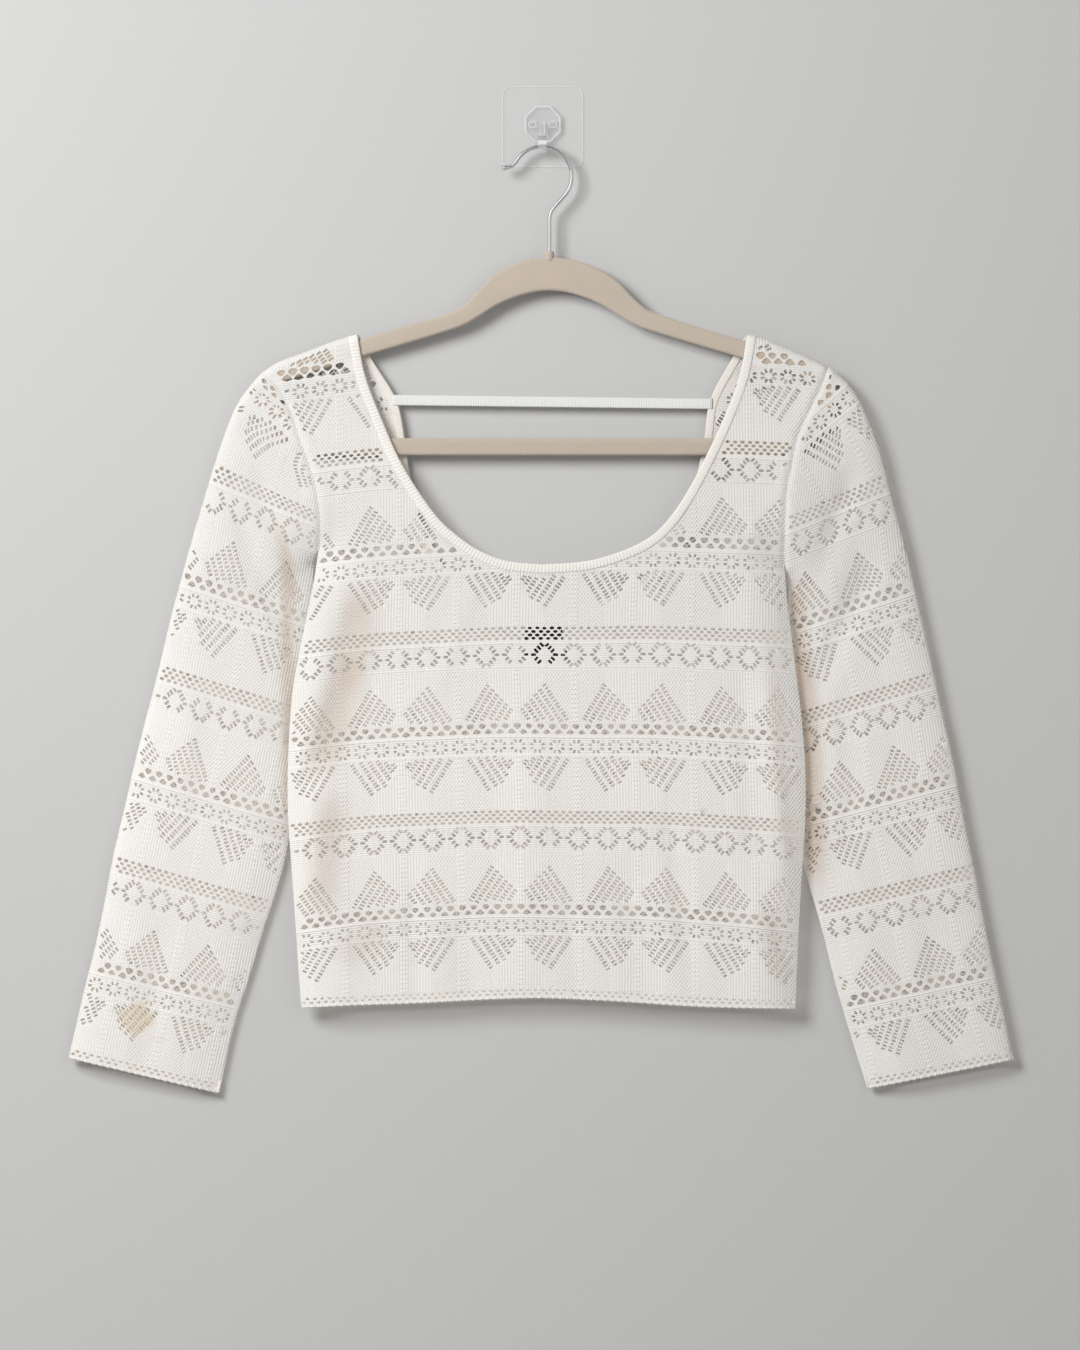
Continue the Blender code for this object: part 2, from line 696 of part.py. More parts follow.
def strap(mat):
    """The flat strap between the legs of the back neckline."""
    left = edge_x(BACK_NECK, "L", STRAP_LEFT_Z) + GAP
    right = edge_x(BACK_NECK, "R", STRAP_RIGHT_Z) - GAP
    y_left = body_y(Vector((left, STRAP_LEFT_Z)), "back")
    y_right = body_y(Vector((right, STRAP_RIGHT_Z)), "back")
    grid = []
    for v in (-0.5, 0.5):
        row = []
        for i in range(17):
            t = i / 16
            x = lerp(left, right, t)
            z = lerp(STRAP_LEFT_Z, STRAP_RIGHT_Z, t)
            lean = slope_x(BACK_NECK, "L" if t == 0.0 else "R", z) if t in (0.0, 1.0) else 0.0
            row.append((x + lean * v * STRAP_WIDTH, lerp(y_left, y_right, t), z + v * STRAP_WIDTH))
        grid.append(row)
    return sheet("back_strap", grid, mat, STRAP_WALL)


def edge_x(neck, hand, z):
    line = neck_edge(neck, hand)
    for a, b in zip(line, line[1:]):
        if a.y <= z <= b.y:
            return lerp(a.x, b.x, (z - a.y) / (b.y - a.y))
    raise ValueError(z)


def slope_x(neck, hand, z):
    """How far the neckline moves sideways for each millimetre of height."""
    return (edge_x(neck, hand, z + 4) - edge_x(neck, hand, z - 4)) / 8


def label(mat):
    """The label hangs inside the back, below the binding."""
    top = BACK_NECK[0].z - TAPE_WIDTH - 0.6
    inward = CLOTH_WALL / 2 + GAP + LABEL_WALL / 2
    grid = []
    for j in range(4):
        z = top - LABEL_HEIGHT * j / 3
        row = []
        for i in range(4):
            x = LABEL_WIDTH * (i / 3 - 0.5)
            row.append((x, body_y(Vector((x, z)), "back") - inward, z))
        grid.append(row)
    return sheet("neck_label", grid, mat, LABEL_WALL)


def outline_solid(name, loops, depth, mat, bevel=0.0, segments=2):
    """A flat outline in the XZ plane with holes, given a thickness about HANG_Y."""
    curve = bpy.data.curves.new(name, "CURVE")
    curve.dimensions = "2D"
    curve.fill_mode = "BOTH"
    curve.extrude = depth / 2 * MM - (bevel * MM)
    curve.bevel_depth = bevel * MM
    curve.bevel_resolution = segments
    curve.offset = -bevel * MM
    for loop in loops:
        s = curve.splines.new("POLY")
        s.points.add(len(loop) - 1)
        for point, (x, z) in zip(s.points, loop):
            point.co = (x * MM, z * MM, 0.0, 1.0)
        s.use_cyclic_u = True
    guide = bpy.data.objects.new(name + "_curve", curve)
    bpy.context.scene.collection.objects.link(guide)
    guide.rotation_euler = (math.pi / 2, 0.0, 0.0)
    bpy.context.view_layer.update()
    graph = bpy.context.evaluated_depsgraph_get()
    mesh = bpy.data.meshes.new_from_object(guide.evaluated_get(graph))
    mesh.transform(guide.matrix_world)
    bpy.data.objects.remove(guide, do_unlink=True)
    bm = bmesh.new()
    bm.from_mesh(mesh)
    bmesh.ops.remove_doubles(bm, verts=bm.verts, dist=1e-6)
    bmesh.ops.recalc_face_normals(bm, faces=bm.faces)
    bm.to_mesh(mesh)
    bm.free()
    mesh.name = name
    return add(name, mesh, mat, parts)


def mirrored(rows, key):
    """A row list as points to the left and right of the hanger's centre line."""
    right = [(HANGER_CENTRE_X + r.reach, key(r)) for r in rows]
    left = [(HANGER_CENTRE_X - r.reach, key(r)) for r in rows]
    return left, right


def hanger(mat):
    top_l, _ = mirrored(HANGER, lambda r: r.top)
    _, top_r = mirrored(HANGER, lambda r: r.top + r.right)
    low_l, low_r = mirrored(HANGER, lambda r: r.low)
    out_l, out_r = mirrored(HANGER_OUTER_END, lambda r: r.z)
    in_l, in_r = mirrored(HANGER_INNER_END, lambda r: r.z)
    outer = top_r + out_r + out_l[::-1] + top_l[:0:-1]
    inner = low_r + in_r[::-1] + in_l + low_l[:0:-1]
    outer = rounded(outer)
    inner = rounded(inner)
    body = outline_solid("hanger_body", [outer, inner], HANGER_WALL, mat, bevel=1.2, segments=1)
    body.location.y = HANG_Y * MM
    # the collar that takes the wire
    bpy.ops.mesh.primitive_cylinder_add(
        vertices=20,
        radius=COLLAR_RADIUS * MM,
        depth=(COLLAR_HEIGHT + 3.0) * MM,
        location=(SHANK_X * MM, HANG_Y * MM, (-98.6 + COLLAR_HEIGHT / 2 - 1.5) * MM),
    )
    collar = bpy.context.object
    collar.name = "collar_tool"
    collar.display_type = "WIRE"
    collar.hide_render = True
    move_to(collar, tools)
    joined = body.modifiers.new("collar", "BOOLEAN")
    joined.operation = "UNION"
    joined.object = collar
    return body


def rounded(points):
    """A closed outline smoothed by one pass of corner cutting, which keeps straight runs straight."""
    out = []
    n = len(points)
    for i in range(n):
        a, b = Vector(points[i]), Vector(points[(i + 1) % n])
        if (b - a).length > 2.0:
            cut = min(0.25, 2.5 / (b - a).length)
            out.append(tuple(a.lerp(b, cut)))
            out.append(tuple(a.lerp(b, 1 - cut)))
        else:
            out.append(tuple(a.lerp(b, 0.5)))
    return out


def move_to(ob, home):
    for c in list(ob.users_collection):
        c.objects.unlink(ob)
    home.objects.link(ob)


def wire(mat):
    """The hanger's hook: shank, slant, loop over the wall hook's arm, and a small outward tip."""
    route = [Vector((SHANK_X, SHANK_FOOT)), Vector((SHANK_X, lerp(SHANK_FOOT, SHANK_HEAD, 0.5)))]
    route.append(Vector((SHANK_X, SHANK_HEAD)))
    route.append(Vector((SHANK_X + 1.0, SHANK_HEAD + 3.6)))
    route.append(Vector((SHANK_X + 4.2, SHANK_HEAD + 8.4)))
    for i in range(23):
        angle = math.radians(lerp(-44.0, 152.0, i / 22))
        route.append(
            Vector((LOOP_X + LOOP_RADIUS * math.cos(angle), LOOP_Z + LOOP_RADIUS * math.sin(angle)))
        )
    route += [Vector((-23.6, -30.3)), Vector((-27.0, -31.2)), Vector((-30.4, -31.8))]
    curve = bpy.data.curves.new("hanger_hook", "CURVE")
    curve.dimensions = "3D"
    curve.bevel_depth = WIRE_RADIUS * MM
    curve.bevel_resolution = 2
    curve.use_fill_caps = True
    spline = curve.splines.new("POLY")
    spline.points.add(len(route) - 1)
    for point, p in zip(spline.points, route):
        point.co = (p.x * MM, HANG_Y * MM, p.y * MM, 1.0)
    ob = bpy.data.objects.new("hanger_hook", curve)
    curve.materials.append(mat)
    parts.objects.link(ob)
    ob.parent = root
    return ob


def wall_plate(mat):
    """The clear adhesive plate, with rounded corners."""
    bpy.ops.mesh.primitive_cube_add(size=1.0, location=(0, -PLATE_WALL / 2 * MM, 0))
    ob = bpy.context.object
    ob.name = ob.data.name = "wall_plate"
    ob.scale = (PLATE_SIDE * MM, PLATE_WALL * MM, PLATE_SIDE * MM)
    bpy.ops.object.transform_apply(location=False, rotation=False, scale=True)
    bm = bmesh.new()
    bm.from_mesh(ob.data)
    upright = [e for e in bm.edges if abs((e.verts[0].co - e.verts[1].co).y) > 1e-6]
    bmesh.ops.bevel(bm, geom=upright, offset=PLATE_CORNER * MM, segments=6, profile=0.5, affect="EDGES")
    bm.to_mesh(ob.data)
    bm.free()
    ob.data.materials.append(mat)
    move_to(ob, parts)
    ob.parent = root
    return ob


def wall_hook(mat):
    """The moulded hook: an eight-sided boss, a rib, and an arm that turns up round the wire."""
    back = -(PLATE_WALL + GAP)
    bpy.ops.mesh.primitive_cylinder_add(
        vertices=8,
        radius=BOSS_WIDTH / 2 / math.cos(math.pi / 8) * MM,
        depth=BOSS_DEPTH * MM,
        location=(0, (back - BOSS_DEPTH / 2) * MM, 1.9 * MM),
        rotation=(math.pi / 2, 0, 0),
    )
    boss = bpy.context.object
    boss.name = boss.data.name = "wall_hook"
    # a flat side on top
    boss.rotation_euler = (math.pi / 2, math.pi / 8, 0)
    bpy.ops.object.transform_apply(location=False, rotation=True, scale=False)
    boss.data.materials.append(mat)
    move_to(boss, parts)
    boss.parent = root
    # the arm's profile in the YZ plane, one closed outline given a width along X
    front = HANG_Y - WIRE_RADIUS - GAP
    seat = LOOP_Z + LOOP_RADIUS - WIRE_RADIUS - 2 * GAP
    profile = [
        (back - BOSS_DEPTH + 1.0, -4.0),
        (back - BOSS_DEPTH - 0.8, -4.6),
        (back - BOSS_DEPTH - 2.0, seat + 4.0),
        (HANG_Y + WIRE_RADIUS + GAP, seat + 1.2),
        (HANG_Y, seat - 0.1),
        (front - 0.1, seat + 1.0),
        (front - 0.4, seat + 9.0),
        (front - 1.3, seat + 10.0),
        (front - 2.6, seat + 9.2),
        (front - 3.0, seat + 0.6),
        (front - 1.8, seat - 2.2),
        (HANG_Y, seat - 3.4),
        (HANG_Y + 4.0, seat - 2.6),
        (back - BOSS_DEPTH - 0.6, seat + 0.4),
        (back - BOSS_DEPTH + 1.0, seat + 2.4),
    ]
    bm = bmesh.new()
    loops = []
    for x in (-ARM_WIDTH / 2, ARM_WIDTH / 2):
        loops.append([bm.verts.new(Vector((x - 0.2, y, z)) * MM) for y, z in profile])
    n = len(profile)
    for i in range(n):
        j = (i + 1) % n
        bm.faces.new((loops[0][i], loops[0][j], loops[1][j], loops[1][i]))
    bm.faces.new(loops[0][::-1])
    bm.faces.new(loops[1])
    bmesh.ops.recalc_face_normals(bm, faces=bm.faces)
    mesh = bpy.data.meshes.new("arm_tool")
    bm.to_mesh(mesh)
    bm.free()
    arm = bpy.data.objects.new("arm_tool", mesh)
    arm.hide_render = True
    arm.display_type = "WIRE"
    tools.objects.link(arm)
    bpy.ops.mesh.primitive_cube_add(size=1.0, location=(-0.2 * MM, (back - BOSS_DEPTH - 0.4) * MM, -2.0 * MM))
    rib = bpy.context.object
    rib.name = "rib_tool"
    rib.scale = (3.4 * MM, 2.6 * MM, 11.0 * MM)
    rib.hide_render = True
    rib.display_type = "WIRE"
    bpy.ops.object.transform_apply(location=False, rotation=False, scale=True)
    move_to(rib, tools)
    for tool in (rib, arm):
        joined = boss.modifiers.new(tool.name, "BOOLEAN")
        joined.operation = "UNION"
        joined.object = tool
    return boss


clear_scene()
parts = collection("crochet_top")
tools = collection("tools", hidden=True)
root = bpy.data.objects.new("crochet_top_root", None)
parts.objects.link(root)

knit = material("knit", (0.84, 0.81, 0.76), 0.92)
tape = material("tape", (0.86, 0.83, 0.78), 0.85)
elastic = material("elastic", (0.90, 0.90, 0.88), 0.7)
black_label = material("label", (0.015, 0.015, 0.016), 0.7)
velvet = material("velvet", (0.58, 0.50, 0.41), 0.95)
chrome = material("chrome", (0.75, 0.76, 0.78), 0.12, metallic=1.0)
clear = material("clear_plastic", (0.95, 0.96, 0.96), 0.08, alpha=0.3)

body_panel("front_panel", FRONT_NECK, BINDING_WIDTH, "front", knit)
body_panel("back_panel", BACK_NECK, TAPE_WIDTH, "back", knit)
neck_strip("neck_binding_front", FRONT_NECK, BINDING_WIDTH, BINDING_WALL, "front", knit)
neck_strip("neck_binding_back", BACK_NECK, TAPE_WIDTH, TAPE_WALL, "back", tape)
hem_strip("hem_front", "front", knit)
hem_strip("hem_back", "back", knit)
sleeve("sleeve_L", "L", knit)
sleeve("sleeve_R", "R", knit)
cuff("cuff_L", "L", knit)
cuff("cuff_R", "R", knit)
strap(elastic)
label(black_label)
hanger(velvet)
wire(chrome)
wall_plate(clear)
wall_hook(clear)
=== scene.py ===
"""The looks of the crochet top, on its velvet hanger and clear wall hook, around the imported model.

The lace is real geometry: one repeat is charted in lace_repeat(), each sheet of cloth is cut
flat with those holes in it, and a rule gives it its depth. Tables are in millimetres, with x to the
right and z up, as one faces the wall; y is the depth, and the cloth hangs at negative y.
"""

import math
import random
from collections import namedtuple

import bmesh
import bpy
import numpy as np
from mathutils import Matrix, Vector
from mathutils.geometry import delaunay_2d_cdt


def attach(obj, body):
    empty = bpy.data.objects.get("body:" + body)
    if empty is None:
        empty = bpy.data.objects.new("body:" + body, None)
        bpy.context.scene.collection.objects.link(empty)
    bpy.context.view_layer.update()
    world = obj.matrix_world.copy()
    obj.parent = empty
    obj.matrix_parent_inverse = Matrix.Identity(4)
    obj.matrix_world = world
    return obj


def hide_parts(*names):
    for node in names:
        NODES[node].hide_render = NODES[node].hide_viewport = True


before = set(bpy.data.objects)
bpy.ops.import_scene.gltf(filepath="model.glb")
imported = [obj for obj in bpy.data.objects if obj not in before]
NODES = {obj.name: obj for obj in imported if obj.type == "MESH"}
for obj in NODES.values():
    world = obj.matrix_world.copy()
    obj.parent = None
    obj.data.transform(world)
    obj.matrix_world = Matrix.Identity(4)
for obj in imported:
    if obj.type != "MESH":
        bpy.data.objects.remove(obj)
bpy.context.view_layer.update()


MM = 0.001

# ---- the photograph's frame: 1080 x 1350, each unit 0.75 mm at the cloth ----------------------
FRAME_HEIGHT = 1350 * 0.75
VIEW_X, VIEW_Z = -1.9, -412.0
VIEW_DISTANCE = 8000.0
CLOTH_PLANE = -17.0

scene = bpy.context.scene
lens = bpy.data.cameras.new("camera")
camera = bpy.data.objects.new("camera", lens)
scene.collection.objects.link(camera)
camera.location = (VIEW_X * MM, (CLOTH_PLANE - VIEW_DISTANCE) * MM, VIEW_Z * MM)
camera.rotation_euler = (math.pi / 2, 0.0, 0.0)
lens.sensor_fit = "VERTICAL"
lens.sensor_height = 24.0
lens.lens = 24.0 * VIEW_DISTANCE / FRAME_HEIGHT
lens.clip_start, lens.clip_end = 0.05, 30.0
scene.camera = camera

# ---- named sizes -----------------------------------------------------------------------------
CLOTH = 0.75  # how thick the knit is drawn
HANG_Y = -12.0
SEAM_HALF = 0.35
SHOULDER_REACH, SIDE_REACH, FOLD_REACH = 5.0, 40.0, 30.0
HUG_DEPTH, FRONT_DEPTH, BACK_DEPTH = 4.1, 9.4, 5.4
SLEEVE_FRONT_DEPTH, SLEEVE_BACK_DEPTH = 6.0, 4.4
SIDE_FORWARD, SLEEVE_BACK_OUTER, SLEEVE_BACK_INNER = 3.2, 3.6, 6.0
BINDING_WIDTH, TAPE_WIDTH, HEM_HEIGHT = 7.0, 6.0, 9.0
GAP = 0.3

# ---- the garment's lines, as in the CAD source -------------------------------------------------
Side = namedtuple("Side", "left_x left_z right_x right_z")
SIDES = [
    Side(-167.6, -316.7, 181.2, -330.0),
    Side(-170.4, -335.0, 182.4, -346.0),
    Side(-173.6, -354.0, 184.0, -364.0),
    Side(-177.6, -372.5, 186.4, -381.0),
    Side(-183.0, -398.0, 190.2, -412.0),
    Side(-187.6, -427.0, 194.2, -445.0),
    Side(-190.6, -472.0, 197.0, -484.0),
    Side(-190.8, -515.0, 196.8, -523.0),
    Side(-188.0, -558.0, 194.4, -560.0),
    Side(-185.2, -598.0, 192.2, -598.0),
    Side(-182.8, -634.0, 190.6, -634.0),
    Side(-181.0, -661.0, 189.4, -661.8),
]
Armhole = namedtuple("Armhole", "left_x left_z right_x right_z")
ARMHOLES = [
    Armhole(-167.6, -316.7, 181.2, -330.0),
    Armhole(-166.5, -303.0, 181.6, -308.0),
    Armhole(-167.2, -289.0, 182.2, -290.0),
    Armhole(-170.4, -269.0, 183.6, -272.0),
    Armhole(-175.9, -251.0, 187.6, -252.0),
    Armhole(-182.4, -233.5, 191.4, -233.5),
    Armhole(-187.6, -217.0, 197.6, -219.5),
    Armhole(-193.9, -203.0, 204.6, -205.0),
    Armhole(-201.0, -192.8, 209.4, -194.6),
    Armhole(-209.6, -185.0, 214.6, -181.6),
]
Neck = namedtuple("Neck", "left right z")
FRONT_NECK = [
    Neck(0.0, 0.0, -329.2),
    Neck(-26.0, 32.5, -326.6),
    Neck(-46.0, 58.5, -319.4),
    Neck(-62.0, 79.8, -309.0),
    Neck(-77.4, 94.2, -295.4),
    Neck(-92.6, 108.2, -275.0),
    Neck(-107.5, 121.5, -250.0),
    Neck(-120.6, 135.6, -220.0),
    Neck(-132.8, 147.6, -188.0),
    Neck(-138.9, 153.6, -156.6),
]
BACK_NECK = [
    Neck(0.0, 0.0, -362.0),
    Neck(-30.0, 34.0, -358.6),
    Neck(-58.0, 66.0, -346.0),
    Neck(-80.0, 92.0, -322.0),
    Neck(-93.0, 108.0, -292.0),
    Neck(-100.2, 116.6, -259.0),
    Neck(-103.6, 121.6, -234.0),
    Neck(-110.2, 126.2, -204.6),
    Neck(-129.0, 142.6, -174.0),
    Neck(-137.6, 152.4, -157.4),
]
Shoulder = namedtuple("Shoulder", "left_x left_z right_x right_z")
SHOULDERS = [
    Shoulder(-138.9, -156.6, 153.6, -156.6),
    Shoulder(-155.4, -161.4, 167.5, -160.4),
    Shoulder(-179.6, -170.6, 181.8, -166.4),
    Shoulder(-198.0, -177.4, 200.4, -174.6),
    Shoulder(-209.6, -185.0, 214.6, -181.6),
]
Hem = namedtuple("Hem", "x z")
HEMS = [
    Hem(-181.0, -661.0),
    Hem(-143.0, -659.0),
    Hem(-90.0, -657.2),
    Hem(-37.0, -654.4),
    Hem(2.0, -653.6),
    Hem(51.0, -655.7),
    Hem(118.0, -660.0),
    Hem(189.4, -661.8),
]
Section = namedtuple("Section", "outer_x outer_z inner_x inner_z curve")
SLEEVE_LEFT = [
    Section(-209.6, -184.4, -167.6, -316.7, 1.0),
    Section(-219.6, -195.6, -170.8, -321.4, 0.9),
    Section(-231.0, -212.6, -172.2, -330.0, 0.75),
    Section(-241.2, -239.4, -172.6, -342.5, 0.5),
    Section(-251.3, -271.6, -172.2, -355.0, 0.28),
    Section(-263.6, -313.0, -172.4, -370.0, 0.1),
    Section(-278.0, -366.0, -176.2, -397.0, 0.0),
    Section(-287.4, -406.0, -181.0, -430.0, 0.0),
    Section(-296.2, -440.0, -184.0, -466.0, 0.0),
    Section(-305.6, -477.0, -185.6, -505.0, 0.0),
    Section(-313.1, -510.0, -191.4, -538.0, 0.0),
    Section(-321.4, -545.0, -198.6, -568.0, 0.0),
    Section(-328.8, -584.0, -211.8, -609.0, 0.0),
    Section(-336.0, -618.0, -221.4, -641.0, 0.0),
    Section(-343.6, -648.0, -231.6, -673.0, 0.0),
    Section(-355.4, -698.8, -243.2, -725.4, 0.0),
]
SLEEVE_RIGHT = [
    Section(214.6, -181.0, 181.2, -330.0, 1.0),
    Section(227.8, -191.6, 184.2, -334.8, 0.9),
    Section(240.4, -210.0, 185.2, -344.0, 0.75),
    Section(253.4, -243.0, 184.8, -357.0, 0.5),
    Section(262.6, -279.0, 183.4, -371.0, 0.28),
    Section(272.6, -316.0, 183.2, -384.0, 0.1),
    Section(282.2, -357.0, 184.0, -404.0, 0.0),
    Section(291.4, -398.0, 186.4, -432.0, 0.0),
    Section(299.8, -437.0, 189.4, -463.0, 0.0),
    Section(309.0, -478.0, 191.0, -502.0, 0.0),
    Section(316.2, -517.0, 193.0, -538.0, 0.0),
    Section(325.2, -561.0, 200.2, -568.0, 0.0),
    Section(334.0, -607.0, 210.0, -602.0, 0.0),
    Section(341.2, -641.0, 220.2, -643.0, 0.0),
    Section(346.8, -667.0, 229.8, -676.0, 0.0),
    Section(353.4, -700.0, 244.2, -722.0, 0.0),
]
Fold = namedtuple("Fold", "x0 z0 x1 z1 half_width depth")
# soft troughs (depth over 0, into the cloth) and ridges (under 0)
FRONT_FOLDS = [
    Fold(-149.0, -372.0, -156.0, -438.0, 17.0, 3.0),
    Fold(-158.0, -436.0, -178.0, -500.0, 15.0, 2.4),
    Fold(-128.0, -340.0, -132.0, -400.0, 15.0, -1.2),
    Fold(152.0, -400.0, 164.0, -560.0, 18.0, 1.6),
    Fold(66.0, -560.0, 78.0, -655.0, 22.0, 1.4),
    Fold(-60.0, -600.0, -52.0, -656.0, 20.0, 1.6),
    Fold(-8.0, -470.0, -16.0, -655.0, 26.0, -1.0),
    Fold(-134.0, -345.0, -144.0, -412.0, 17.0, 0.8),
    Fold(-144.0, -408.0, -166.0, -482.0, 16.0, 0.8),
    Fold(-156.0, -505.0, -163.0, -580.0, 16.0, 0.7),
    Fold(-52.0, -345.0, -78.0, -420.0, 12.0, -0.7),
    Fold(96.0, -520.0, 112.0, -640.0, 13.0, 1.2),
    Fold(-100.0, -560.0, -94.0, -650.0, 12.0, 1.3),
    Fold(20.0, -580.0, 26.0, -652.0, 12.0, 0.9),
]
BACK_FOLDS = [
    Fold(-120.0, -400.0, -134.0, -560.0, 20.0, 1.4),
    Fold(118.0, -420.0, 130.0, -600.0, 22.0, 1.2),
]
SLEEVE_LEFT_FOLDS = [
    Fold(-214.0, -262.0, -190.0, -340.0, 14.0, 1.8),
    Fold(-226.0, -300.0, -188.0, -390.0, 14.0, 1.8),
    Fold(-262.0, -420.0, -276.0, -520.0, 18.0, -1.0),
    Fold(-286.0, -600.0, -296.0, -700.0, 18.0, 1.4),
]
SLEEVE_RIGHT_FOLDS = [
    Fold(232.0, -262.0, 204.0, -340.0, 14.0, 1.8),
    Fold(246.0, -330.0, 206.0, -420.0, 16.0, 1.8),
    Fold(226.0, -430.0, 232.0, -540.0, 16.0, 1.4),
    Fold(268.0, -560.0, 286.0, -660.0, 18.0, -1.0),
    Fold(204.0, -448.0, 213.0, -488.0, 8.0, 1.3),
    Fold(199.0, -256.0, 213.0, -286.0, 8.0, 1.2),
]
# where shade is painted into the cloth's colour: in folds, and along the sleeves' edges beside the body; the last
# number is how strong the painted shade is
FRONT_PAINTED_SHADE = [
    Fold(-137.0, -352.0, -144.0, -412.0, 22.0, 0.62),
    Fold(-144.0, -408.0, -166.0, -480.0, 22.0, 0.72),
    Fold(-157.0, -505.0, -164.0, -585.0, 22.0, 0.5),
    Fold(172.0, -400.0, 186.0, -560.0, 9.0, 0.35),
    Fold(168.0, -590.0, 178.0, -640.0, 12.0, 0.35),
    Fold(-120.0, -600.0, -150.0, -625.0, 22.0, 0.3),
]
LEFT_PAINTED_SHADE = [
    Fold(-192.0, -330.0, -190.0, -520.0, 9.0, 0.75),
    Fold(-200.0, -300.0, -186.0, -350.0, 8.0, 0.5),
]
RIGHT_PAINTED_SHADE = [
    Fold(190.0, -345.0, 195.0, -420.0, 13.0, 0.8),
    Fold(195.0, -418.0, 203.0, -560.0, 20.0, 0.95),
]

# ---- the lace on each piece ---------------------------------------------------------------------
U = 0.75  # the chart's unit, half a stitch
REPEAT_WIDE, REPEAT_HIGH = 117.0, 186.0
SLEEVE_SCALE = 0.95  # the sleeves' repeat is a little narrower
ROW0_Z = -375.2  # where the front's first mesh row starts, at the middle
AXIS_X = -20.6  # a line down which the front's repeat is symmetric
AXIS_LEFT, AXIS_RIGHT = (-195.6, -454.0), (283.4, -463.4)  # a point on such a line of each sleeve
Hang = namedtuple("Hang", "t drop lean bow right")
# how the body's rows hang by the chart's height: lower at the middle, lower to the right (over 0),
# lower at both sides, and how far their pattern sits to the right
HANGS = [
    Hang(-246.0, 0.0, -5.0, 0.0, 0.0),
    Hang(-86.0, 0.7, -5.2, 0.0, 1.6),
    Hang(-26.0, 1.4, -4.0, 0.0, 0.4),
    Hang(24.0, -0.2, -3.4, 0.0, 0.0),
    Hang(74.0, 0.4, -2.2, 0.8, 1.0),
    Hang(114.0, -0.2, -1.2, 0.6, 2.2),
    Hang(164.0, 0.0, -1.2, 0.4, 2.8),
    Hang(214.0, -2.8, -1.0, 1.8, 3.8),
    Hang(254.0, -3.0, -0.6, 3.2, 4.2),
    Hang(294.0, -4.4, -0.4, 3.8, 4.4),
    Hang(334.0, -6.2, 0.0, 4.2, 4.4),
]
Row = namedtuple("Row", "t x z slope")
# each sleeve's rows: the chart's own height, a point that it goes through, and how the row slants
ROWS_LEFT = [
    Row(-120.0, -162.6, -211.6, -0.95),
    Row(-66.0, -178.4, -229.7, -0.80),
    Row(-42.0, -196.8, -245.4, -0.78),
    Row(7.0, -206.0, -278.0, -0.42),
    Row(102.0, -221.0, -355.0, -0.33),
    Row(193.0, -234.4, -426.7, -0.31),
    Row(288.0, -250.2, -499.8, -0.30),
    Row(379.0, -265.4, -570.0, -0.285),
    Row(474.0, -280.2, -643.5, -0.25),
    Row(560.0, -295.2, -708.6, -0.235),
]
ROWS_RIGHT = [
    Row(-130.0, 165.2, -199.4, 1.0),
    Row(-66.0, 195.8, -232.4, 0.85),
    Row(7.0, 223.0, -282.6, 0.40),
    Row(102.0, 231.0, -360.2, 0.33),
    Row(193.0, 248.2, -429.0, 0.30),
    Row(288.0, 258.4, -502.5, 0.27),
    Row(379.0, 271.6, -572.4, 0.24),
    Row(474.0, 286.2, -644.4, 0.22),
    Row(560.0, 302.4, -708.0, 0.21),
]


# ---- plane geometry, on arrays of (x, z) -----------------------------------------------------
def lerp(a, b, t):
    return a + (b - a) * t


def step(x, low, high):
    t = np.clip((x - low) / (high - low), 0.0, 1.0)
    return t * t * (3 - 2 * t)


def through(points, count):
    """count + 1 points, evenly spaced, on a smooth curve through these."""
    p = np.asarray(points, float)
    ends = np.vstack([2 * p[0] - p[1], p, 2 * p[-1] - p[-2]])
    fine = []
    for i in range(1, len(ends) - 2):
        p0, p1, p2, p3 = ends[i - 1 : i + 3]
        for j in range(16):
            t = j / 16
            fine.append(
                0.5
                * (
                    2 * p1
                    + (p2 - p0) * t
                    + (2 * p0 - 5 * p1 + 4 * p2 - p3) * t * t
                    + (3 * p1 - p0 - 3 * p2 + p3) * t**3
                )
            )
    fine = np.array(fine + [p[-1]])
    far = np.concatenate([[0.0], np.cumsum(np.linalg.norm(np.diff(fine, axis=0), axis=1))])
    want = np.linspace(0.0, far[-1], count + 1)
    return np.stack([np.interp(want, far, fine[:, k]) for k in range(p.shape[1])], axis=1)


def resample(line, gap):
    """The same line with points about this far apart."""
    far = np.concatenate([[0.0], np.cumsum(np.linalg.norm(np.diff(line, axis=0), axis=1))])
    n = max(2, round(far[-1] / gap))
    want = np.linspace(0.0, far[-1], n + 1)
    return np.stack([np.interp(want, far, line[:, k]) for k in range(line.shape[1])], axis=1)


def off_line(p, line):
    """How far each point is from a polyline, and at what share of it."""
    best, share = np.full(len(p), 1e9), np.zeros(len(p))
    for i in range(len(line) - 1):
        a, ab = line[i], line[i + 1] - line[i]
        t = np.clip(((p - a) @ ab) / (ab @ ab), 0.0, 1.0)
        d = np.hypot(*(p - a - t[:, None] * ab).T)
        near = d < best
        best[near] = d[near]
        share[near] = (i + t[near]) / (len(line) - 1)
    return best, share


def offset(line, by):
    """A polyline moved sideways, to the left of its own direction."""
    along = np.gradient(line, axis=0)
    along /= np.linalg.norm(along, axis=1)[:, None]
    return line + np.stack([-along[:, 1], along[:, 0]], axis=1) * by


def inside(p, loop):
    """Which points are inside a closed polygon."""
    hit = np.zeros(len(p), bool)
    x, z = p[:, 0], p[:, 1]
    for (x0, z0), (x1, z1) in zip(loop, np.roll(loop, -1, axis=0)):
        crosses = (z0 > z) != (z1 > z)
        with np.errstate(divide="ignore", invalid="ignore"):
            at = x0 + (z - z0) * (x1 - x0) / (z1 - z0 if z1 != z0 else 1e-12)
        hit ^= crosses & (x < at)
    return hit


def column(rows, x, z):
    return [(getattr(r, x), getattr(r, z)) for r in rows]


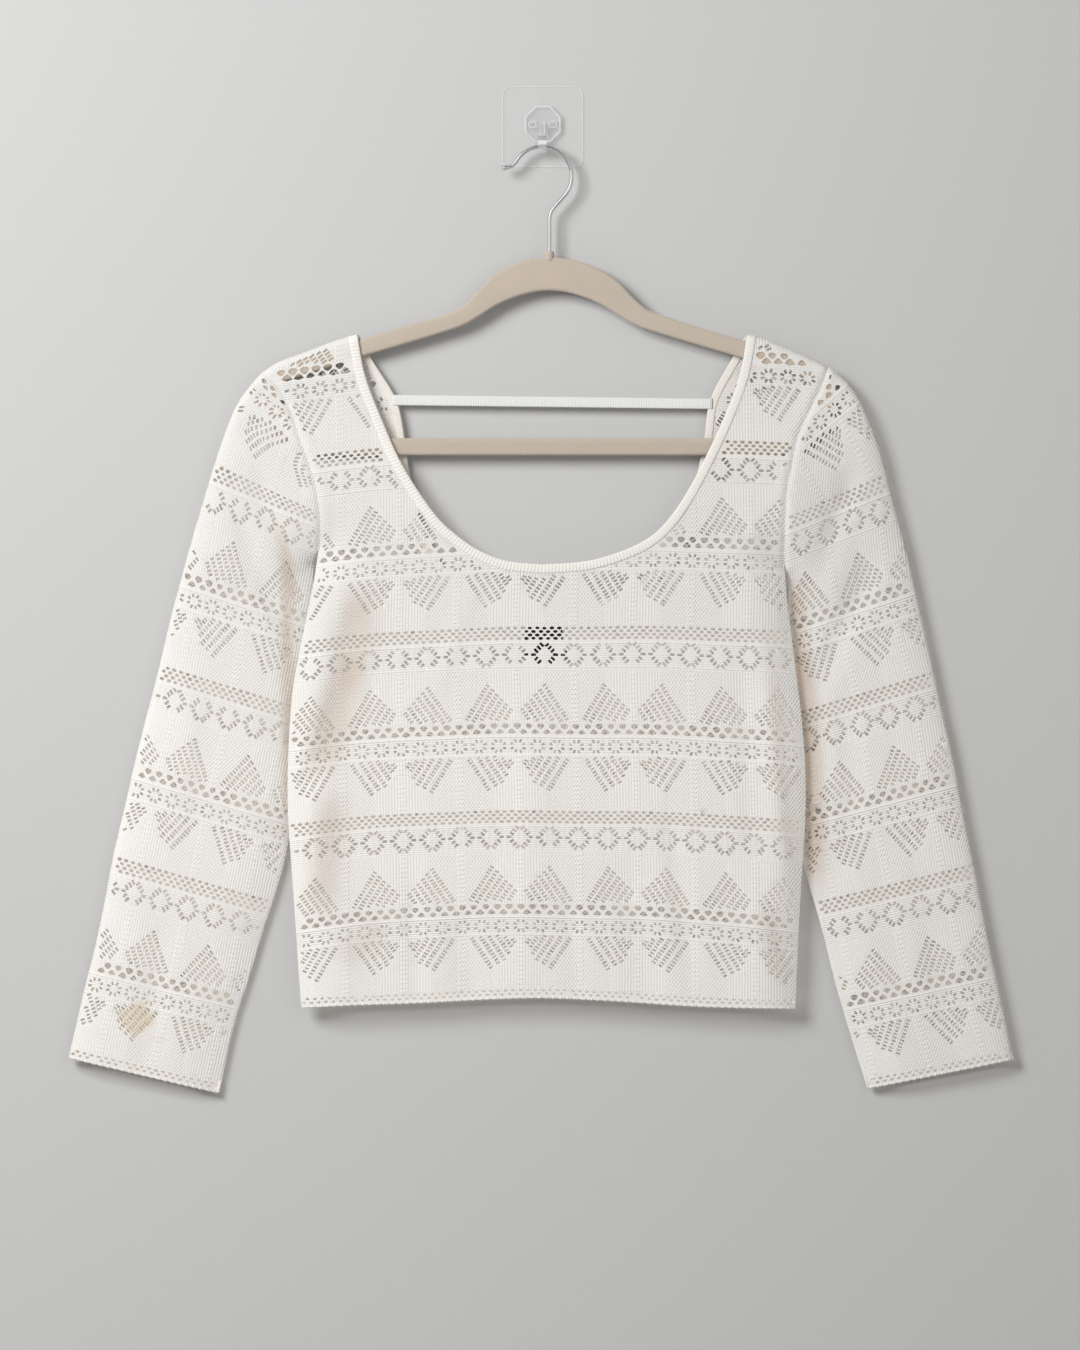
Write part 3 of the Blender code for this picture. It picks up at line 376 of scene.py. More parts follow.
SIDE = {
    "L": through(column(SIDES, "left_x", "left_z"), 40),
    "R": through(column(SIDES, "right_x", "right_z"), 40),
}
ARMHOLE = {
    "L": through(column(ARMHOLES, "left_x", "left_z"), 40),
    "R": through(column(ARMHOLES, "right_x", "right_z"), 40),
}
SHOULDER = {
    "L": through(column(SHOULDERS, "left_x", "left_z"), 20),
    "R": through(column(SHOULDERS, "right_x", "right_z"), 20),
}
OUTER = {
    "L": through(column(SLEEVE_LEFT, "outer_x", "outer_z"), 60),
    "R": through(column(SLEEVE_RIGHT, "outer_x", "outer_z"), 60),
}
INNER = {
    "L": through(column(SLEEVE_LEFT, "inner_x", "inner_z"), 60),
    "R": through(column(SLEEVE_RIGHT, "inner_x", "inner_z"), 60),
}
SECTIONS = {"L": SLEEVE_LEFT, "R": SLEEVE_RIGHT}
SLEEVE_FOLDS = {"L": SLEEVE_LEFT_FOLDS, "R": SLEEVE_RIGHT_FOLDS}
ROWS = {"L": ROWS_LEFT, "R": ROWS_RIGHT}


def neck_edge(rows):
    """A neckline from the left shoulder to the right one."""
    left = through(column(rows, "left", "z"), 90)
    right = through(column(rows, "right", "z"), 90)
    return resample(np.vstack([left[::-1], right[1:]]), 3.0)


FRONT_EDGE, BACK_EDGE = neck_edge(FRONT_NECK), neck_edge(BACK_NECK)


# ---- depth --------------------------------------------------------------------------------------
def swell(d, reach):
    q = np.clip(d / reach, 0.0, 1.0)
    return np.sqrt(1 - (1 - q) ** 2)


def flat_swell(d, reach):
    q = np.clip(d / reach, 0.0, 1.0)
    return 1 - (1 - q) ** 2


def outer_reach(share):
    return lerp(SHOULDER_REACH, FOLD_REACH, step(share, 0.05, 0.25))


def folded(p, folds):
    total = np.zeros(len(p))
    for f in folds:
        a, ab = np.array((f.x0, f.z0)), np.array((f.x1 - f.x0, f.z1 - f.z0))
        t = ((p - a) @ ab) / (ab @ ab)
        across = np.hypot(*(p - a - t[:, None] * ab).T) / f.half_width
        fade = step(t, -0.25, 0.2) * (1 - step(t, 0.8, 1.25))
        total += np.where(across < 1, f.depth * fade * (1 + np.cos(np.pi * np.minimum(across, 1))) / 2, 0)
    return total


def body_y(p, face):
    """The middle of the body's sheet."""
    e, side = np.ones(len(p)), np.full(len(p), 1e9)
    for hand in "LR":
        d, _ = off_line(p, SIDE[hand])
        side = np.minimum(side, d)
        e = np.minimum(e, flat_swell(d, SIDE_REACH))
        d, _ = off_line(p, SHOULDER[hand])
        e = np.minimum(e, swell(d, SHOULDER_REACH))
        d, share = off_line(p, OUTER[hand])
        e = np.minimum(e, swell(d, outer_reach(share)))
    below = step(-p[:, 1], 200.0, 300.0)
    full = lerp(HUG_DEPTH, FRONT_DEPTH if face == "front" else BACK_DEPTH, below)
    mid = HANG_Y - SIDE_FORWARD * (1 - step(side, 0.0, 50.0)) * step(-p[:, 1], 318.0, 352.0)
    half = SEAM_HALF + full * e
    groove = seam_groove(p)
    if face == "front":
        return mid - half + folded(p, FRONT_FOLDS) * e + groove
    return mid + half - folded(p, BACK_FOLDS) * e - groove


def seam_groove(p):
    """The cloth dips where the sleeve is sewn in."""
    total = np.zeros(len(p))
    for hand in "LR":
        d, share = off_line(p, ARMHOLE[hand])
        total += 0.9 * np.exp(-((d / 1.9) ** 2)) - 0.35 * np.exp(-(((d - 4.5) / 2.2) ** 2))
    return total


def sleeve_y(p, face, hand):
    d, share = off_line(p, OUTER[hand])
    across_d, in_share = off_line(p, INNER[hand])
    across = d / np.maximum(d + across_d, 1e-6)
    e = np.minimum(swell(d, outer_reach(share)), flat_swell(across_d, SIDE_REACH))
    near, _ = off_line(p, SHOULDER[hand])
    e = np.minimum(e, swell(near, SHOULDER_REACH))
    down, _ = off_line(p, ARMHOLE[hand])
    below = step(-p[:, 1], 200.0, 300.0)
    at_seam = lerp(HUG_DEPTH, FRONT_DEPTH if face == "front" else BACK_DEPTH, below)
    own = SLEEVE_FRONT_DEPTH if face == "front" else SLEEVE_BACK_DEPTH
    full = lerp(at_seam, lerp(HUG_DEPTH, own, below), step(down, 0.0, 60.0))
    back = lerp(SLEEVE_BACK_OUTER, SLEEVE_BACK_INNER, across)
    reach = lerp(90.0, 15.0, across)
    start = lerp(30.0, 0.0, across)
    mid = HANG_Y + back * step(down, start, start + reach)
    half = SEAM_HALF * step(down, 30.0, 0.0) + full * e
    soft = folded(p, SLEEVE_FOLDS[hand]) * e * step(down, 5.0, 40.0)
    groove = seam_groove(p)
    return mid - half + soft + groove if face == "front" else mid + half - soft * 0.5 - groove



# ---- the lace repeat, charted -------------------------------------------------------------------
Hole = namedtuple("Hole", "x y wide high tilt sides lean")
# x, y in the chart's units from a symmetry line and from the first mesh row, y down; tilt in degrees,
# lean is how much narrower its top is than its foot (under 0: its foot)
Line = namedtuple("Line", "x y count")
# the hanging fans' lines of short bars: where each starts, left of the symmetry line, and its bars
HANGING = [
    Line(-49.0, 133.0, 11),
    Line(-40.0, 131.6, 10),
    Line(-31.6, 131.4, 9),
    Line(-23.8, 130.8, 7),
    Line(-15.6, 132.6, 4),
    Line(-8.2, 134.6, 2),
]


def lace_repeat():
    """Every hole of one repeat, and the crests of the ribs between them as (x, y, height)."""
    holes, crests = [], []
    # four staggered rows of mesh
    for row in range(4):
        for i in range(16):
            x = (i + 0.5 * (row % 2)) * REPEAT_WIDE / 16
            holes.append(Hole(x, 0.9 + 3.6 * row, 4.9, 3.4, 0.0, 6, 0.0))
    # diamonds of short bars that point at their middles, four to a repeat
    for i in range(4):
        cx, cy = i * REPEAT_WIDE / 4, 28.4
        for sx in (-1, 1):
            holes.append(Hole(cx + sx * 10.9, cy, 5.2, 3.2, 0.0, 4, 0.0))
            for sy in (-1, 1):
                for x, y in ((8.2, 3.9), (5.4, 7.0), (2.65, 10.0)):
                    holes.append(Hole(cx + sx * x, cy + sy * y, 5.5, 3.2, sx * sy * 45.0, 4, 0.0))
        crests.append((cx, cy, 0.3))
        for k in range(8):
            a = k * math.pi / 4
            crests.append((cx + 4.4 * math.cos(a), cy + 4.4 * math.sin(a), 0.2))
    # the upright fans, one on each side of the symmetry line
    for side in (-1, 1):
        for k in range(6):
            x, y = 28.5 - 4.6 * k, 58.4 + 4.9 * k
            while y < 94.0:
                holes.append(Hole(side * x, y, 4.7, 2.45, -side * 32.0, 4, 0.0))
                crests.append((side * (x - 4.1), y + 0.3, 0.36))
                x, y = x + 1.95, y + 3.05
    # the zigzag row: round holes above, three-cornered ones below
    for i in range(10):
        x = i * REPEAT_WIDE / 10
        holes.append(Hole(x, 99.7, 7.3, 5.9, 0.0, 8, -0.34))
        holes.append(Hole(x + REPEAT_WIDE / 20, 105.1, 7.6, 5.7, 0.0, 6, 0.6))
    # six small flowers, each a ring of short bars
    for i in range(6):
        cx, cy = i * REPEAT_WIDE / 6, 120.0
        for k in range(8):
            a = (k + 0.5) * math.pi / 4
            x, y = 6.3 * math.cos(a), 5.5 * math.sin(a)
            holes.append(Hole(cx + x, cy + y, 3.9, 2.7, math.degrees(math.atan2(y, x)), 4, 0.0))
        crests.append((cx, cy, 0.25))
    # the hanging fans
    for side in (-1, 1):
        for line in HANGING:
            for k in range(line.count):
                x, y = line.x + 1.92 * k, line.y + 3.0 * k
                holes.append(Hole(-side * x, y, 4.7, 2.45, side * 32.0, 4, 0.0))
                crests.append((-side * (x + 4.1), y, 0.36))
    return holes, crests


def hole_outline(h, rng):
    """A hole's corners in the chart, with a little of the hand in its size and place."""
    grow = 1 + rng.uniform(-0.11, 0.09)
    dx, dy = rng.uniform(-0.2, 0.2), rng.uniform(-0.15, 0.15)
    turn = math.radians(h.tilt + rng.uniform(-5, 5))
    c, s = math.cos(turn), math.sin(turn)
    out = []
    for k in range(h.sides):
        a = 2 * math.pi * (k + 0.5) / h.sides
        px, py = math.cos(a), math.sin(a)
        if h.sides == 4:  # a bar with square ends
            px, py = math.copysign(0.92, px), math.copysign(0.8, py)
        px *= 1 + h.lean * py  # the chart's y runs down
        px, py = px * h.wide / 2 * grow, py * h.high / 2 * grow
        out.append((h.x + dx + px * c - py * s, h.y + dy + px * s + py * c))
    return out


def tiled(x_range, t_range, seed):
    """The repeat laid over a stretch of the chart: hole outlines and crests."""
    rng = random.Random(seed)
    holes, crests = lace_repeat()
    outlines, points = [], []
    for j in range(math.floor(t_range[0] / REPEAT_HIGH) - 1, math.ceil(t_range[1] / REPEAT_HIGH) + 1):
        for i in range(math.floor(x_range[0] / REPEAT_WIDE) - 1, math.ceil(x_range[1] / REPEAT_WIDE) + 1):
            shift = np.array((i * REPEAT_WIDE, j * REPEAT_HIGH))
            for h in holes:
                outlines.append(np.array(hole_outline(h, rng)) + shift)
            for x, y, height in crests:
                points.append((x + shift[0] + rng.uniform(-0.2, 0.2), y + shift[1], height * rng.uniform(0.7, 1.3)))
    return outlines, np.array(points)


# ---- the chart laid on each piece --------------------------------------------------------------
def sag(x, lean=0.0):
    """How far a row hangs below its middle: more towards the sides."""
    return 7.6 * ((x + 1.9) / 180.0) ** 2 + 0.5 * np.sin(x / 41.0 + 1.0) + 0.3 * np.sin(x / 17.0) + lean * x / 180.0


class BodyChart:
    """Lays the chart on the front or the back."""

    def __init__(self, axis_x, row0_z, lean):
        self.axis_x, self.row0_z, self.lean = axis_x, row0_z, lean

    def hang(self, x, t):
        drop, lean, bow, right = (np.interp(t, [h.t for h in HANGS], [h[k] for h in HANGS]) for k in (1, 2, 3, 4))
        side = (x + 1.9) / 180.0
        return drop + lean * side + bow * side * side, right

    def place(self, c):
        x = self.axis_x + c[:, 0] * U
        x = x + self.hang(x, c[:, 1])[1]
        return np.stack([x, self.row0_z - c[:, 1] * U - sag(x, self.lean) - self.hang(x, c[:, 1])[0]], axis=1)

    def find(self, p):
        x, z = p[:, 0], p[:, 1]
        low = self.row0_z - z - sag(x, self.lean)
        t = low / U
        for _ in range(6):
            t = (low - self.hang(x, t)[0]) / U
        return np.stack([(x - self.axis_x - self.hang(x, t)[1]) / U, t], axis=1)


class SleeveChart:
    """Lays the chart on a sleeve, each row on its own slanting line. The repeat is a little narrower
    than the body's, and one of its symmetry lines goes through the point named."""

    def __init__(self, rows, axis_at, shift=0.0, drop=0.0):
        self.t = np.array([r.t for r in rows])
        self.x = np.array([r.x for r in rows])
        self.z = np.array([r.z for r in rows])
        self.slope = np.array([r.slope for r in rows])
        self.shift, self.drop = 0.0, 0.0
        self.shift = float(self.find(np.array([axis_at]))[0, 0]) + shift
        self.drop = drop

    def row(self, t):
        return np.interp(t, self.t, self.x), np.interp(t, self.t, self.z), np.interp(t, self.t, self.slope)

    def place(self, c):
        x0, z0, m = self.row(c[:, 1] + self.drop)
        s = (c[:, 0] + self.shift) * U * SLEEVE_SCALE / np.sqrt(1 + m * m)
        return np.stack([x0 + s, z0 + m * s], axis=1)

    def find(self, p):
        low, high = np.full(len(p), self.t[0]), np.full(len(p), self.t[-1])
        for _ in range(24):
            t = (low + high) / 2
            x0, z0, m = self.row(t)
            above = p[:, 1] > z0 + m * (p[:, 0] - x0)
            high = np.where(above, t, high)
            low = np.where(above, low, t)
        x0, z0, m = self.row(t)
        s = (p[:, 0] - x0) * np.sqrt(1 + m * m) / (U * SLEEVE_SCALE)
        return np.stack([s - self.shift, t - self.drop], axis=1)


# ---- cutting a sheet -----------------------------------------------------------------------------
def edge_holes(foot, seed, shift=0.0):
    """The uneven small holes above a hem, as outlines. foot runs so that the cloth is on its left."""
    rng = random.Random(seed)
    far = np.concatenate([[0.0], np.cumsum(np.linalg.norm(np.diff(foot, axis=0), axis=1))])
    along = np.gradient(foot, axis=0)
    along /= np.linalg.norm(along, axis=1)[:, None]
    out = []
    for row, (height, share) in enumerate(((2.9, 0.98), (5.5, 0.98), (8.2, 0.12))):
        s = 2.6 + (2.75 * (row % 2) + shift) % 5.5
        while s < far[-1] - 2.4:
            if rng.random() < share:
                base = np.array([np.interp(s, far, foot[:, k]) for k in (0, 1)])
                ax, az = (np.interp(s, far, along[:, k]) for k in (0, 1))
                wide, high = rng.uniform(3.0, 3.4), rng.uniform(1.9, 2.2)
                up = height + rng.uniform(-0.2, 0.2)
                turn = rng.uniform(-0.16, 0.16)
                ring = []
                for k in range(6):
                    a = 2 * math.pi * (k + 0.5) / 6
                    u, v = math.cos(a) * wide / 2, math.sin(a) * high / 2
                    u, v = u * math.cos(turn) - v * math.sin(turn), u * math.sin(turn) + v * math.cos(turn) + up
                    ring.append((base[0] + u * ax - v * az, base[1] + u * az + v * ax))
                out.append(np.array(ring))
            s += 5.5
    return out


def scalloped(foot):
    """A hem's foot with its row of small scallops. The cloth is on its left."""
    line = resample(foot, 1.4)
    far = np.concatenate([[0.0], np.cumsum(np.linalg.norm(np.diff(line, axis=0), axis=1))])
    along = np.gradient(line, axis=0)
    along /= np.linalg.norm(along, axis=1)[:, None]
    down = np.stack([along[:, 1], -along[:, 0]], axis=1)
    bulge = 0.55 * np.abs(np.sin(np.pi * far / 5.5)) * np.clip(np.minimum(far, far[-1] - far) / 4.0, 0, 1)
    return line + down * bulge[:, None]


def cut_sheet(outline, chart, seed, clear=(), own=(), margin=1.5, spare=6.0, on_top=0.0, rims=(0.8, 2.0, 4.0)):
    """A flat sheet inside an outline with the lace's holes in it: points, their height off the
    cloth's middle, and triangles. clear is (line, distance) pairs that the lace keeps off, and own
    are the outlines of further holes."""
    low, high = outline.min(0), outline.max(0)
    loop = np.vstack([outline, outline[:1]])
    points, labels, height, edges = [], [], [], []
    points.extend(outline)
    labels += [-1] * len(outline)
    height += [0.0] * len(outline)
    n = len(outline)
    edges += [(i, (i + 1) % n) for i in range(n)]
    rings = []
    crests = np.zeros((0, 3))
    if chart is not None:
        span = chart.find(np.array([(x, z) for x in np.linspace(low[0], high[0], 9) for z in np.linspace(low[1], high[1], 9)]))
        outlines, crests = tiled((span[:, 0].min(), span[:, 0].max()), (span[:, 1].min(), span[:, 1].max()), seed)
        sizes = np.array([len(o) for o in outlines])
        flat = chart.place(np.vstack(outlines))
        starts = np.concatenate([[0], np.cumsum(sizes)[:-1]])
        # the cloth is stretched over the hanger, so its holes are wider there
        middle = np.repeat(np.add.reduceat(flat, starts, axis=0) / sizes[:, None], sizes, axis=0)
        flat = middle + (flat - middle) * (1 + 0.2 * step(middle[:, 1], -215.0, -190.0) * on_top)[:, None]
        good = (flat >= low - 1).all(1) & (flat <= high + 1).all(1)
        where = np.flatnonzero(good)
        good[where] = inside(flat[where], outline)
        for line, by in ((loop, margin), *clear):
            where = np.flatnonzero(good)
            good[where] = off_line(flat[where], line)[0] > by
        rings = [flat[b : b + k] for b, k in zip(starts, sizes) if good[b : b + k].all()]
    for ring in own:
        if inside(ring, outline).all() and off_line(ring, loop)[0].min() > 0.6:
            rings.append(ring)
    cells, size = {}, 1.6
    for count, ring in enumerate(rings):
        b, k = len(points), len(ring)
        points.extend(ring)
        labels += [count] * k
        height += [-0.05] * k
        edges += [(b + i, b + (i + 1) % k) for i in range(k)]
        for cx in range(int(ring[:, 0].min() // size), int(ring[:, 0].max() // size) + 1):
            for cz in range(int(ring[:, 1].min() // size), int(ring[:, 1].max() // size) + 1):
                cells.setdefault((cx, cz), []).append(count)

    def in_a_hole(x, z):
        for count in cells.get((int(x // size), int(z // size)), ()):
            ring = rings[count]
            turns = [
                (ring[i][0] - ring[i - 1][0]) * (z - ring[i - 1][1]) - (ring[i][1] - ring[i - 1][1]) * (x - ring[i - 1][0])
                for i in range(len(ring))
            ]
            if min(turns) > -1e-9 or max(turns) < 1e-9:
                return True
        return False

    # points off the lace: the ribs' crests, lines inside the edges, and a loose grid
    extra, lift = [], []
    for d in rims:
        for by in (d, -d):
            line = offset(loop, by)[:-1]
            extra.append(line)
            lift.append(np.zeros(len(line)))
    if len(crests):
        extra.append(chart.place(crests[:, :2]))
        lift.append(crests[:, 2] * 0.4)
    xs = np.arange(low[0], high[0], spare)
    zs = np.arange(low[1], high[1], spare * 0.87)
    grid = np.array([(x + spare / 2 * (k % 2), z) for k, z in enumerate(zs) for x in xs])
    extra.append(grid)
    lift.append(np.zeros(len(grid)))
    extra, lift = np.vstack(extra), np.concatenate(lift)
    keep = inside(extra, outline)
    extra, lift = extra[keep], lift[keep]
    keep = off_line(extra, loop)[0] > min(rims) * 0.8
    extra, lift = extra[keep], lift[keep]
    taken = {}
    for x, z in points:
        taken.setdefault((int(x // size), int(z // size)), []).append((x, z))
    near = 0.62
    for (x, z), up in zip(extra, lift):
        cx, cz = int(x // size), int(z // size)
        if any(
            (ox - x) ** 2 + (oz - z) ** 2 < near * near
            for i in (-1, 0, 1)
            for j in (-1, 0, 1)
            for ox, oz in taken.get((cx + i, cz + j), ())
        ) or in_a_hole(x, z):
            continue
        taken.setdefault((cx, cz), []).append((x, z))
        points.append((x, z))
        labels.append(-2)
        height.append(up)
    verts, _, faces, origin, _, _ = delaunay_2d_cdt([Vector(p) for p in points], edges, [], 0, 1e-5, True)
    p = np.array([(v.x, v.y) for v in verts])
    first = np.array([o[0] if o else -1 for o in origin])
    labels, height = np.array(labels), np.array(height)
    label = np.where(first >= 0, labels[first], -2)
    height = np.where(first >= 0, height[first], 0.0)
    tri = np.array([f for f in faces if len(f) == 3])
    in_hole = (label[tri[:, 0]] >= 0) & (label[tri[:, 0]] == label[tri[:, 1]]) & (label[tri[:, 1]] == label[tri[:, 2]])
    tri = tri[~in_hole]
    tri = tri[inside(p[tri].mean(1), outline)]
    used = np.unique(tri)
    again = np.full(len(p), -1)
    again[used] = np.arange(len(used))
    print("sheet: holes", len(rings), "points", len(used), "triangles", len(tri))
    return p[used], height[used], again[tri]


def facing(p, tri, face):
    """The triangles turned to face out of the front or the back."""
    a, b = p[tri[:, 1]] - p[tri[:, 0]], p[tri[:, 2]] - p[tri[:, 0]]
    area = (a[:, 0] * b[:, 1] - a[:, 1] * b[:, 0]).sum()
    return tri[:, ::-1] if (area > 0) == (face == "back") else tri


def plane_area(loop):
    x, z = loop[:, 0], loop[:, 1]
    return abs(float(np.dot(x, np.roll(z, -1)) - np.dot(z, np.roll(x, -1)))) / 2 * MM * MM


def mesh_object(name, verts, faces, uv=None, mat=None, smooth=True, shades=None):
    mesh = bpy.data.meshes.new(name)
    mesh.from_pydata([tuple(v) for v in verts], [], [tuple(int(i) for i in f) for f in faces])
    mesh.update()
    if uv is not None:
        layer = mesh.uv_layers.new(name="chart")
        loops = np.zeros(len(mesh.loops), np.int32)
        mesh.loops.foreach_get("vertex_index", loops)
        layer.data.foreach_set("uv", np.asarray(uv, np.float32)[loops].ravel())
    if shades is not None:
        for key, values in zip(("painted_shade", "shut"), np.asarray(shades, np.float32).T):
            mesh.attributes.new(key, "FLOAT", "POINT").data.foreach_set("value", np.ascontiguousarray(values))
    if smooth:
        mesh.shade_smooth()
    ob = bpy.data.objects.new(name, mesh)
    scene.collection.objects.link(ob)
    if mat:
        mesh.materials.append(mat)
    return ob


def thicken(ob, wall):
    """Gives the sheet its thickness, with crisp edges round its holes."""
    m = ob.modifiers.new("wall", "SOLIDIFY")
    m.thickness = wall * MM
    m.offset = 0.0
    bpy.context.view_layer.update()
    thin = ob.data
    ob.data = bpy.data.meshes.new_from_object(ob.evaluated_get(bpy.context.evaluated_depsgraph_get()))
    ob.data.name = ob.name
    ob.modifiers.clear()
    bpy.data.meshes.remove(thin)
    ob.data.shade_smooth()
    ob.data.set_sharp_from_angle(angle=math.radians(48))
    return ob


def shades_at(p, rows, sides, extra=0.0):
    """At p, how much painted shade the folds give (with extra painted shade added) and how much more
    light the cloth stops by its sides, both from 0 to 1."""
    near = np.min([off_line(p, line)[0] for line in sides], axis=0)
    return np.stack([np.clip(1.2 * folded(p, rows) + extra, 0.0, 1.0), 1 - step(near, 5.0, 17.0)], axis=1)


FOOT = through([(h.x, h.z) for h in HEMS], 120)
BACK_SHIFT = {"front": 0.0, "back": 2.75}


def panel_outline(edge):
    """A panel's outline: along the hem, up the right side, over its shoulder, along the neck."""
    hem = scalloped(FOOT)
    left = resample(SIDE["L"], 4.0)
    right = resample(SIDE["R"], 4.0)
    left = left[left[:, 1] > hem[0, 1] + 1]
    right = right[right[:, 1] > hem[-1, 1] + 1]
    arm_l, arm_r = resample(ARMHOLE["L"], 3.0), resample(ARMHOLE["R"], 3.0)
    top_l, top_r = resample(SHOULDER["L"], 3.0), resample(SHOULDER["R"], 3.0)
    neck_l, neck_r = edge[0], edge[-1]
    top_l = top_l[top_l[:, 0] < neck_l[0] - 1.0]
    top_r = top_r[top_r[:, 0] > neck_r[0] + 1.0]
    return np.vstack(
        [hem, right[::-1][:-1], arm_r[:-1], top_r[::-1], edge[::-1], top_l[:-1], arm_l[::-1][:-1], left]
    )


def build_panel(name, edge, face, chart, seed, mat, binding, painted_shade):
    outline = panel_outline(edge)
    clear = [(edge, binding + 0.6), (FOOT, 12.5)]
    p, height, tri = cut_sheet(outline, chart, seed, clear, edge_holes(FOOT, seed + 5, BACK_SHIFT[face]), on_top=1.0)
    y = body_y(p, face)
    out = -1.0 if face == "front" else 1.0
    verts = np.stack([p[:, 0], y + out * height, p[:, 1]], axis=1) * MM
    # painted shade: a soft dark line along the binding's lower edge, and on the back, the cloth that lies behind the
    # front is painted darker
    painted_shade_extra = 0.42 * np.exp(-(((off_line(p, edge)[0] - binding) / 0.9) ** 2))  # the binding's shade
    if face == "back":  # it lies in the front's shade
        painted_shade_extra = painted_shade_extra + 0.62 * inside(p, panel_outline(FRONT_EDGE)) * step(off_line(p, FRONT_EDGE)[0], 0.0, 7.0)
    shades = shades_at(p, painted_shade, [SIDE["L"], SIDE["R"]] + ([FOOT] if face == "back" else []), painted_shade_extra)
    ob = mesh_object(name, verts, facing(p, tri, face), chart.find(p) / 100.0, mat, shades=shades)
    return thicken(ob, CLOTH), plane_area(outline)


def cuff_line(hand):
    """A sleeve's foot, drawn so that the cloth is on its left."""
    foot = SECTIONS[hand][-1]
    ends = [(foot.outer_x, foot.outer_z), (foot.inner_x, foot.inner_z)]
    return np.array(ends if hand == "L" else ends[::-1])


def sleeve_outline(hand):
    base = scalloped(cuff_line(hand))
    if hand == "R":
        base = base[::-1]
    outer = resample(OUTER[hand], 3.0)
    inner = resample(INNER[hand], 3.0)
    outer = outer[outer[:, 1] > base[0, 1] + 1.5]
    inner = inner[inner[:, 1] > base[-1, 1] + 1.5]
    arm = resample(ARMHOLE[hand], 3.0)
    return np.vstack([outer, base, inner[::-1][:-1], arm[:-1]])


def joined_faces(name, parts, mat, back_mat):
    """One mesh from a front and a back sheet, welded where their edges meet."""
    n = len(parts[0][0])
    verts = np.vstack([parts[0][0], parts[1][0]])
    tri = np.vstack([parts[0][1], parts[1][1] + n])
    uv = np.vstack([parts[0][2], parts[1][2]])
    ob = mesh_object(name, verts, tri, uv, mat, shades=np.vstack([parts[0][3], parts[1][3]]))
    ob.data.materials.append(back_mat)
    kinds = np.repeat((0, 1), (len(parts[0][1]), len(parts[1][1]))).astype(np.int32)
    ob.data.polygons.foreach_set("material_index", kinds)
    bm = bmesh.new()
    bm.from_mesh(ob.data)
    bmesh.ops.remove_doubles(bm, verts=[v for v in bm.verts if v.is_boundary], dist=2e-5)
    bm.to_mesh(ob.data)
    bm.free()
    return thicken(ob, CLOTH)


def build_sleeve(name, hand, chart_front, chart_back, seed, mat, painted_shade):
    outline = sleeve_outline(hand)
    foot = resample(cuff_line(hand), 3.0)
    clear = [(foot, 12.5)]
    parts = []
    for face, chart, s in (("front", chart_front, seed), ("back", chart_back, seed + 1)):
        p, height, tri = cut_sheet(outline, chart, s, clear, edge_holes(foot, s + 5, BACK_SHIFT[face]))
        y = sleeve_y(p, face, hand)
        out = -1.0 if face == "front" else 1.0
        verts = np.stack([p[:, 0], y + out * height, p[:, 1]], axis=1) * MM
        sides = [OUTER[hand], INNER[hand]] + ([foot] if face == "back" else [])
        # the back sheet is painted darker all over: painted shade where it lies behind the front sheet
        shades = shades_at(p, painted_shade if face == "front" else [], sides, 0.0 if face == "front" else 0.62)
        parts.append((verts, facing(p, tri, face), chart.find(p) / 100.0, shades))
    return joined_faces(name, parts, mat, knit_back_shaded), plane_area(outline)


def turned_up(name, foot, depth, faces, seed, mat):
    """The inner layer of a hem: a strip with its own small holes, turned up inside."""
    line = resample(foot, 3.0)
    outline = np.vstack([line, offset(line, HEM_HEIGHT)[::-1]])
    parts = []
    for i, face in enumerate(faces):
        p, height, tri = cut_sheet(outline, None, seed, (), edge_holes(line, seed + i, BACK_SHIFT[face]), spare=4.0, rims=(0.8,))
        inward = 1.0 if face == "front" else -1.0
        verts = np.stack([p[:, 0], depth(p, face) + inward * 1.05, p[:, 1]], axis=1) * MM
        parts.append((verts, facing(p, tri, face), p / 75.0, np.zeros((len(p), 2))))
    if len(parts) == 2:
        return joined_faces(name, parts, mat, knit_back_shaded)
    verts, tri, uv, shades = parts[0]
    return thicken(mesh_object(name, verts, tri, uv, mat, shades=shades), CLOTH)


# ---- strips: bindings, tapes, edges -----------------------------------------------------------
def oval(half_width, half_depth, count=14, square=1.0):
    """A ring of (across, out) points. square under 1 makes it boxier."""
    out = []
    for k in range(count):
        a = 2 * math.pi * k / count
        c, s = math.cos(a), math.sin(a)
        out.append((half_width * math.copysign(abs(c) ** square, c), half_depth * math.copysign(abs(s) ** square, s)))
    return np.array(out)


def swept(name, path, ring, depth, mat, relief=None):
    """A strip with this ring swept along a plane path. depth gives its middle's y at points of the
    plane, and relief how much larger the ring is at a length along the path and a turn round it."""
    n, k = len(path), len(ring)
    along = np.gradient(path, axis=0)
    along /= np.linalg.norm(along, axis=1)[:, None]
    side = np.stack([-along[:, 1], along[:, 0]], axis=1)
    far = np.concatenate([[0.0], np.cumsum(np.linalg.norm(np.diff(path, axis=0), axis=1))])
    turn = np.arange(k) / k
    grow = np.ones((n, k)) if relief is None else relief(far[:, None], turn[None, :])
    across, out = ring[None, :, 0] * grow, ring[None, :, 1] * grow
    p = path[:, None, :] + side[:, None, :] * across[:, :, None]
    y = depth(p.reshape(-1, 2)).reshape(n, k) - out
    verts = np.stack([p[:, :, 0], y, p[:, :, 1]], axis=2).reshape(-1, 3) * MM
    faces = []
    for i in range(n - 1):
        for j in range(k):
            m = (j + 1) % k
            faces.append((i * k + j, i * k + m, (i + 1) * k + m, (i + 1) * k + j))
    faces += [tuple(range(k))[::-1], tuple((n - 1) * k + j for j in range(k))]
    uv = np.stack([np.repeat(far, k) / 100.0, np.tile(turn, n)], axis=1)
    ob = mesh_object(name, verts, faces, uv, mat)
    bm = bmesh.new()
    bm.from_mesh(ob.data)
    bmesh.ops.recalc_face_normals(bm, faces=bm.faces)
    bm.to_mesh(ob.data)
    bm.free()
    return ob


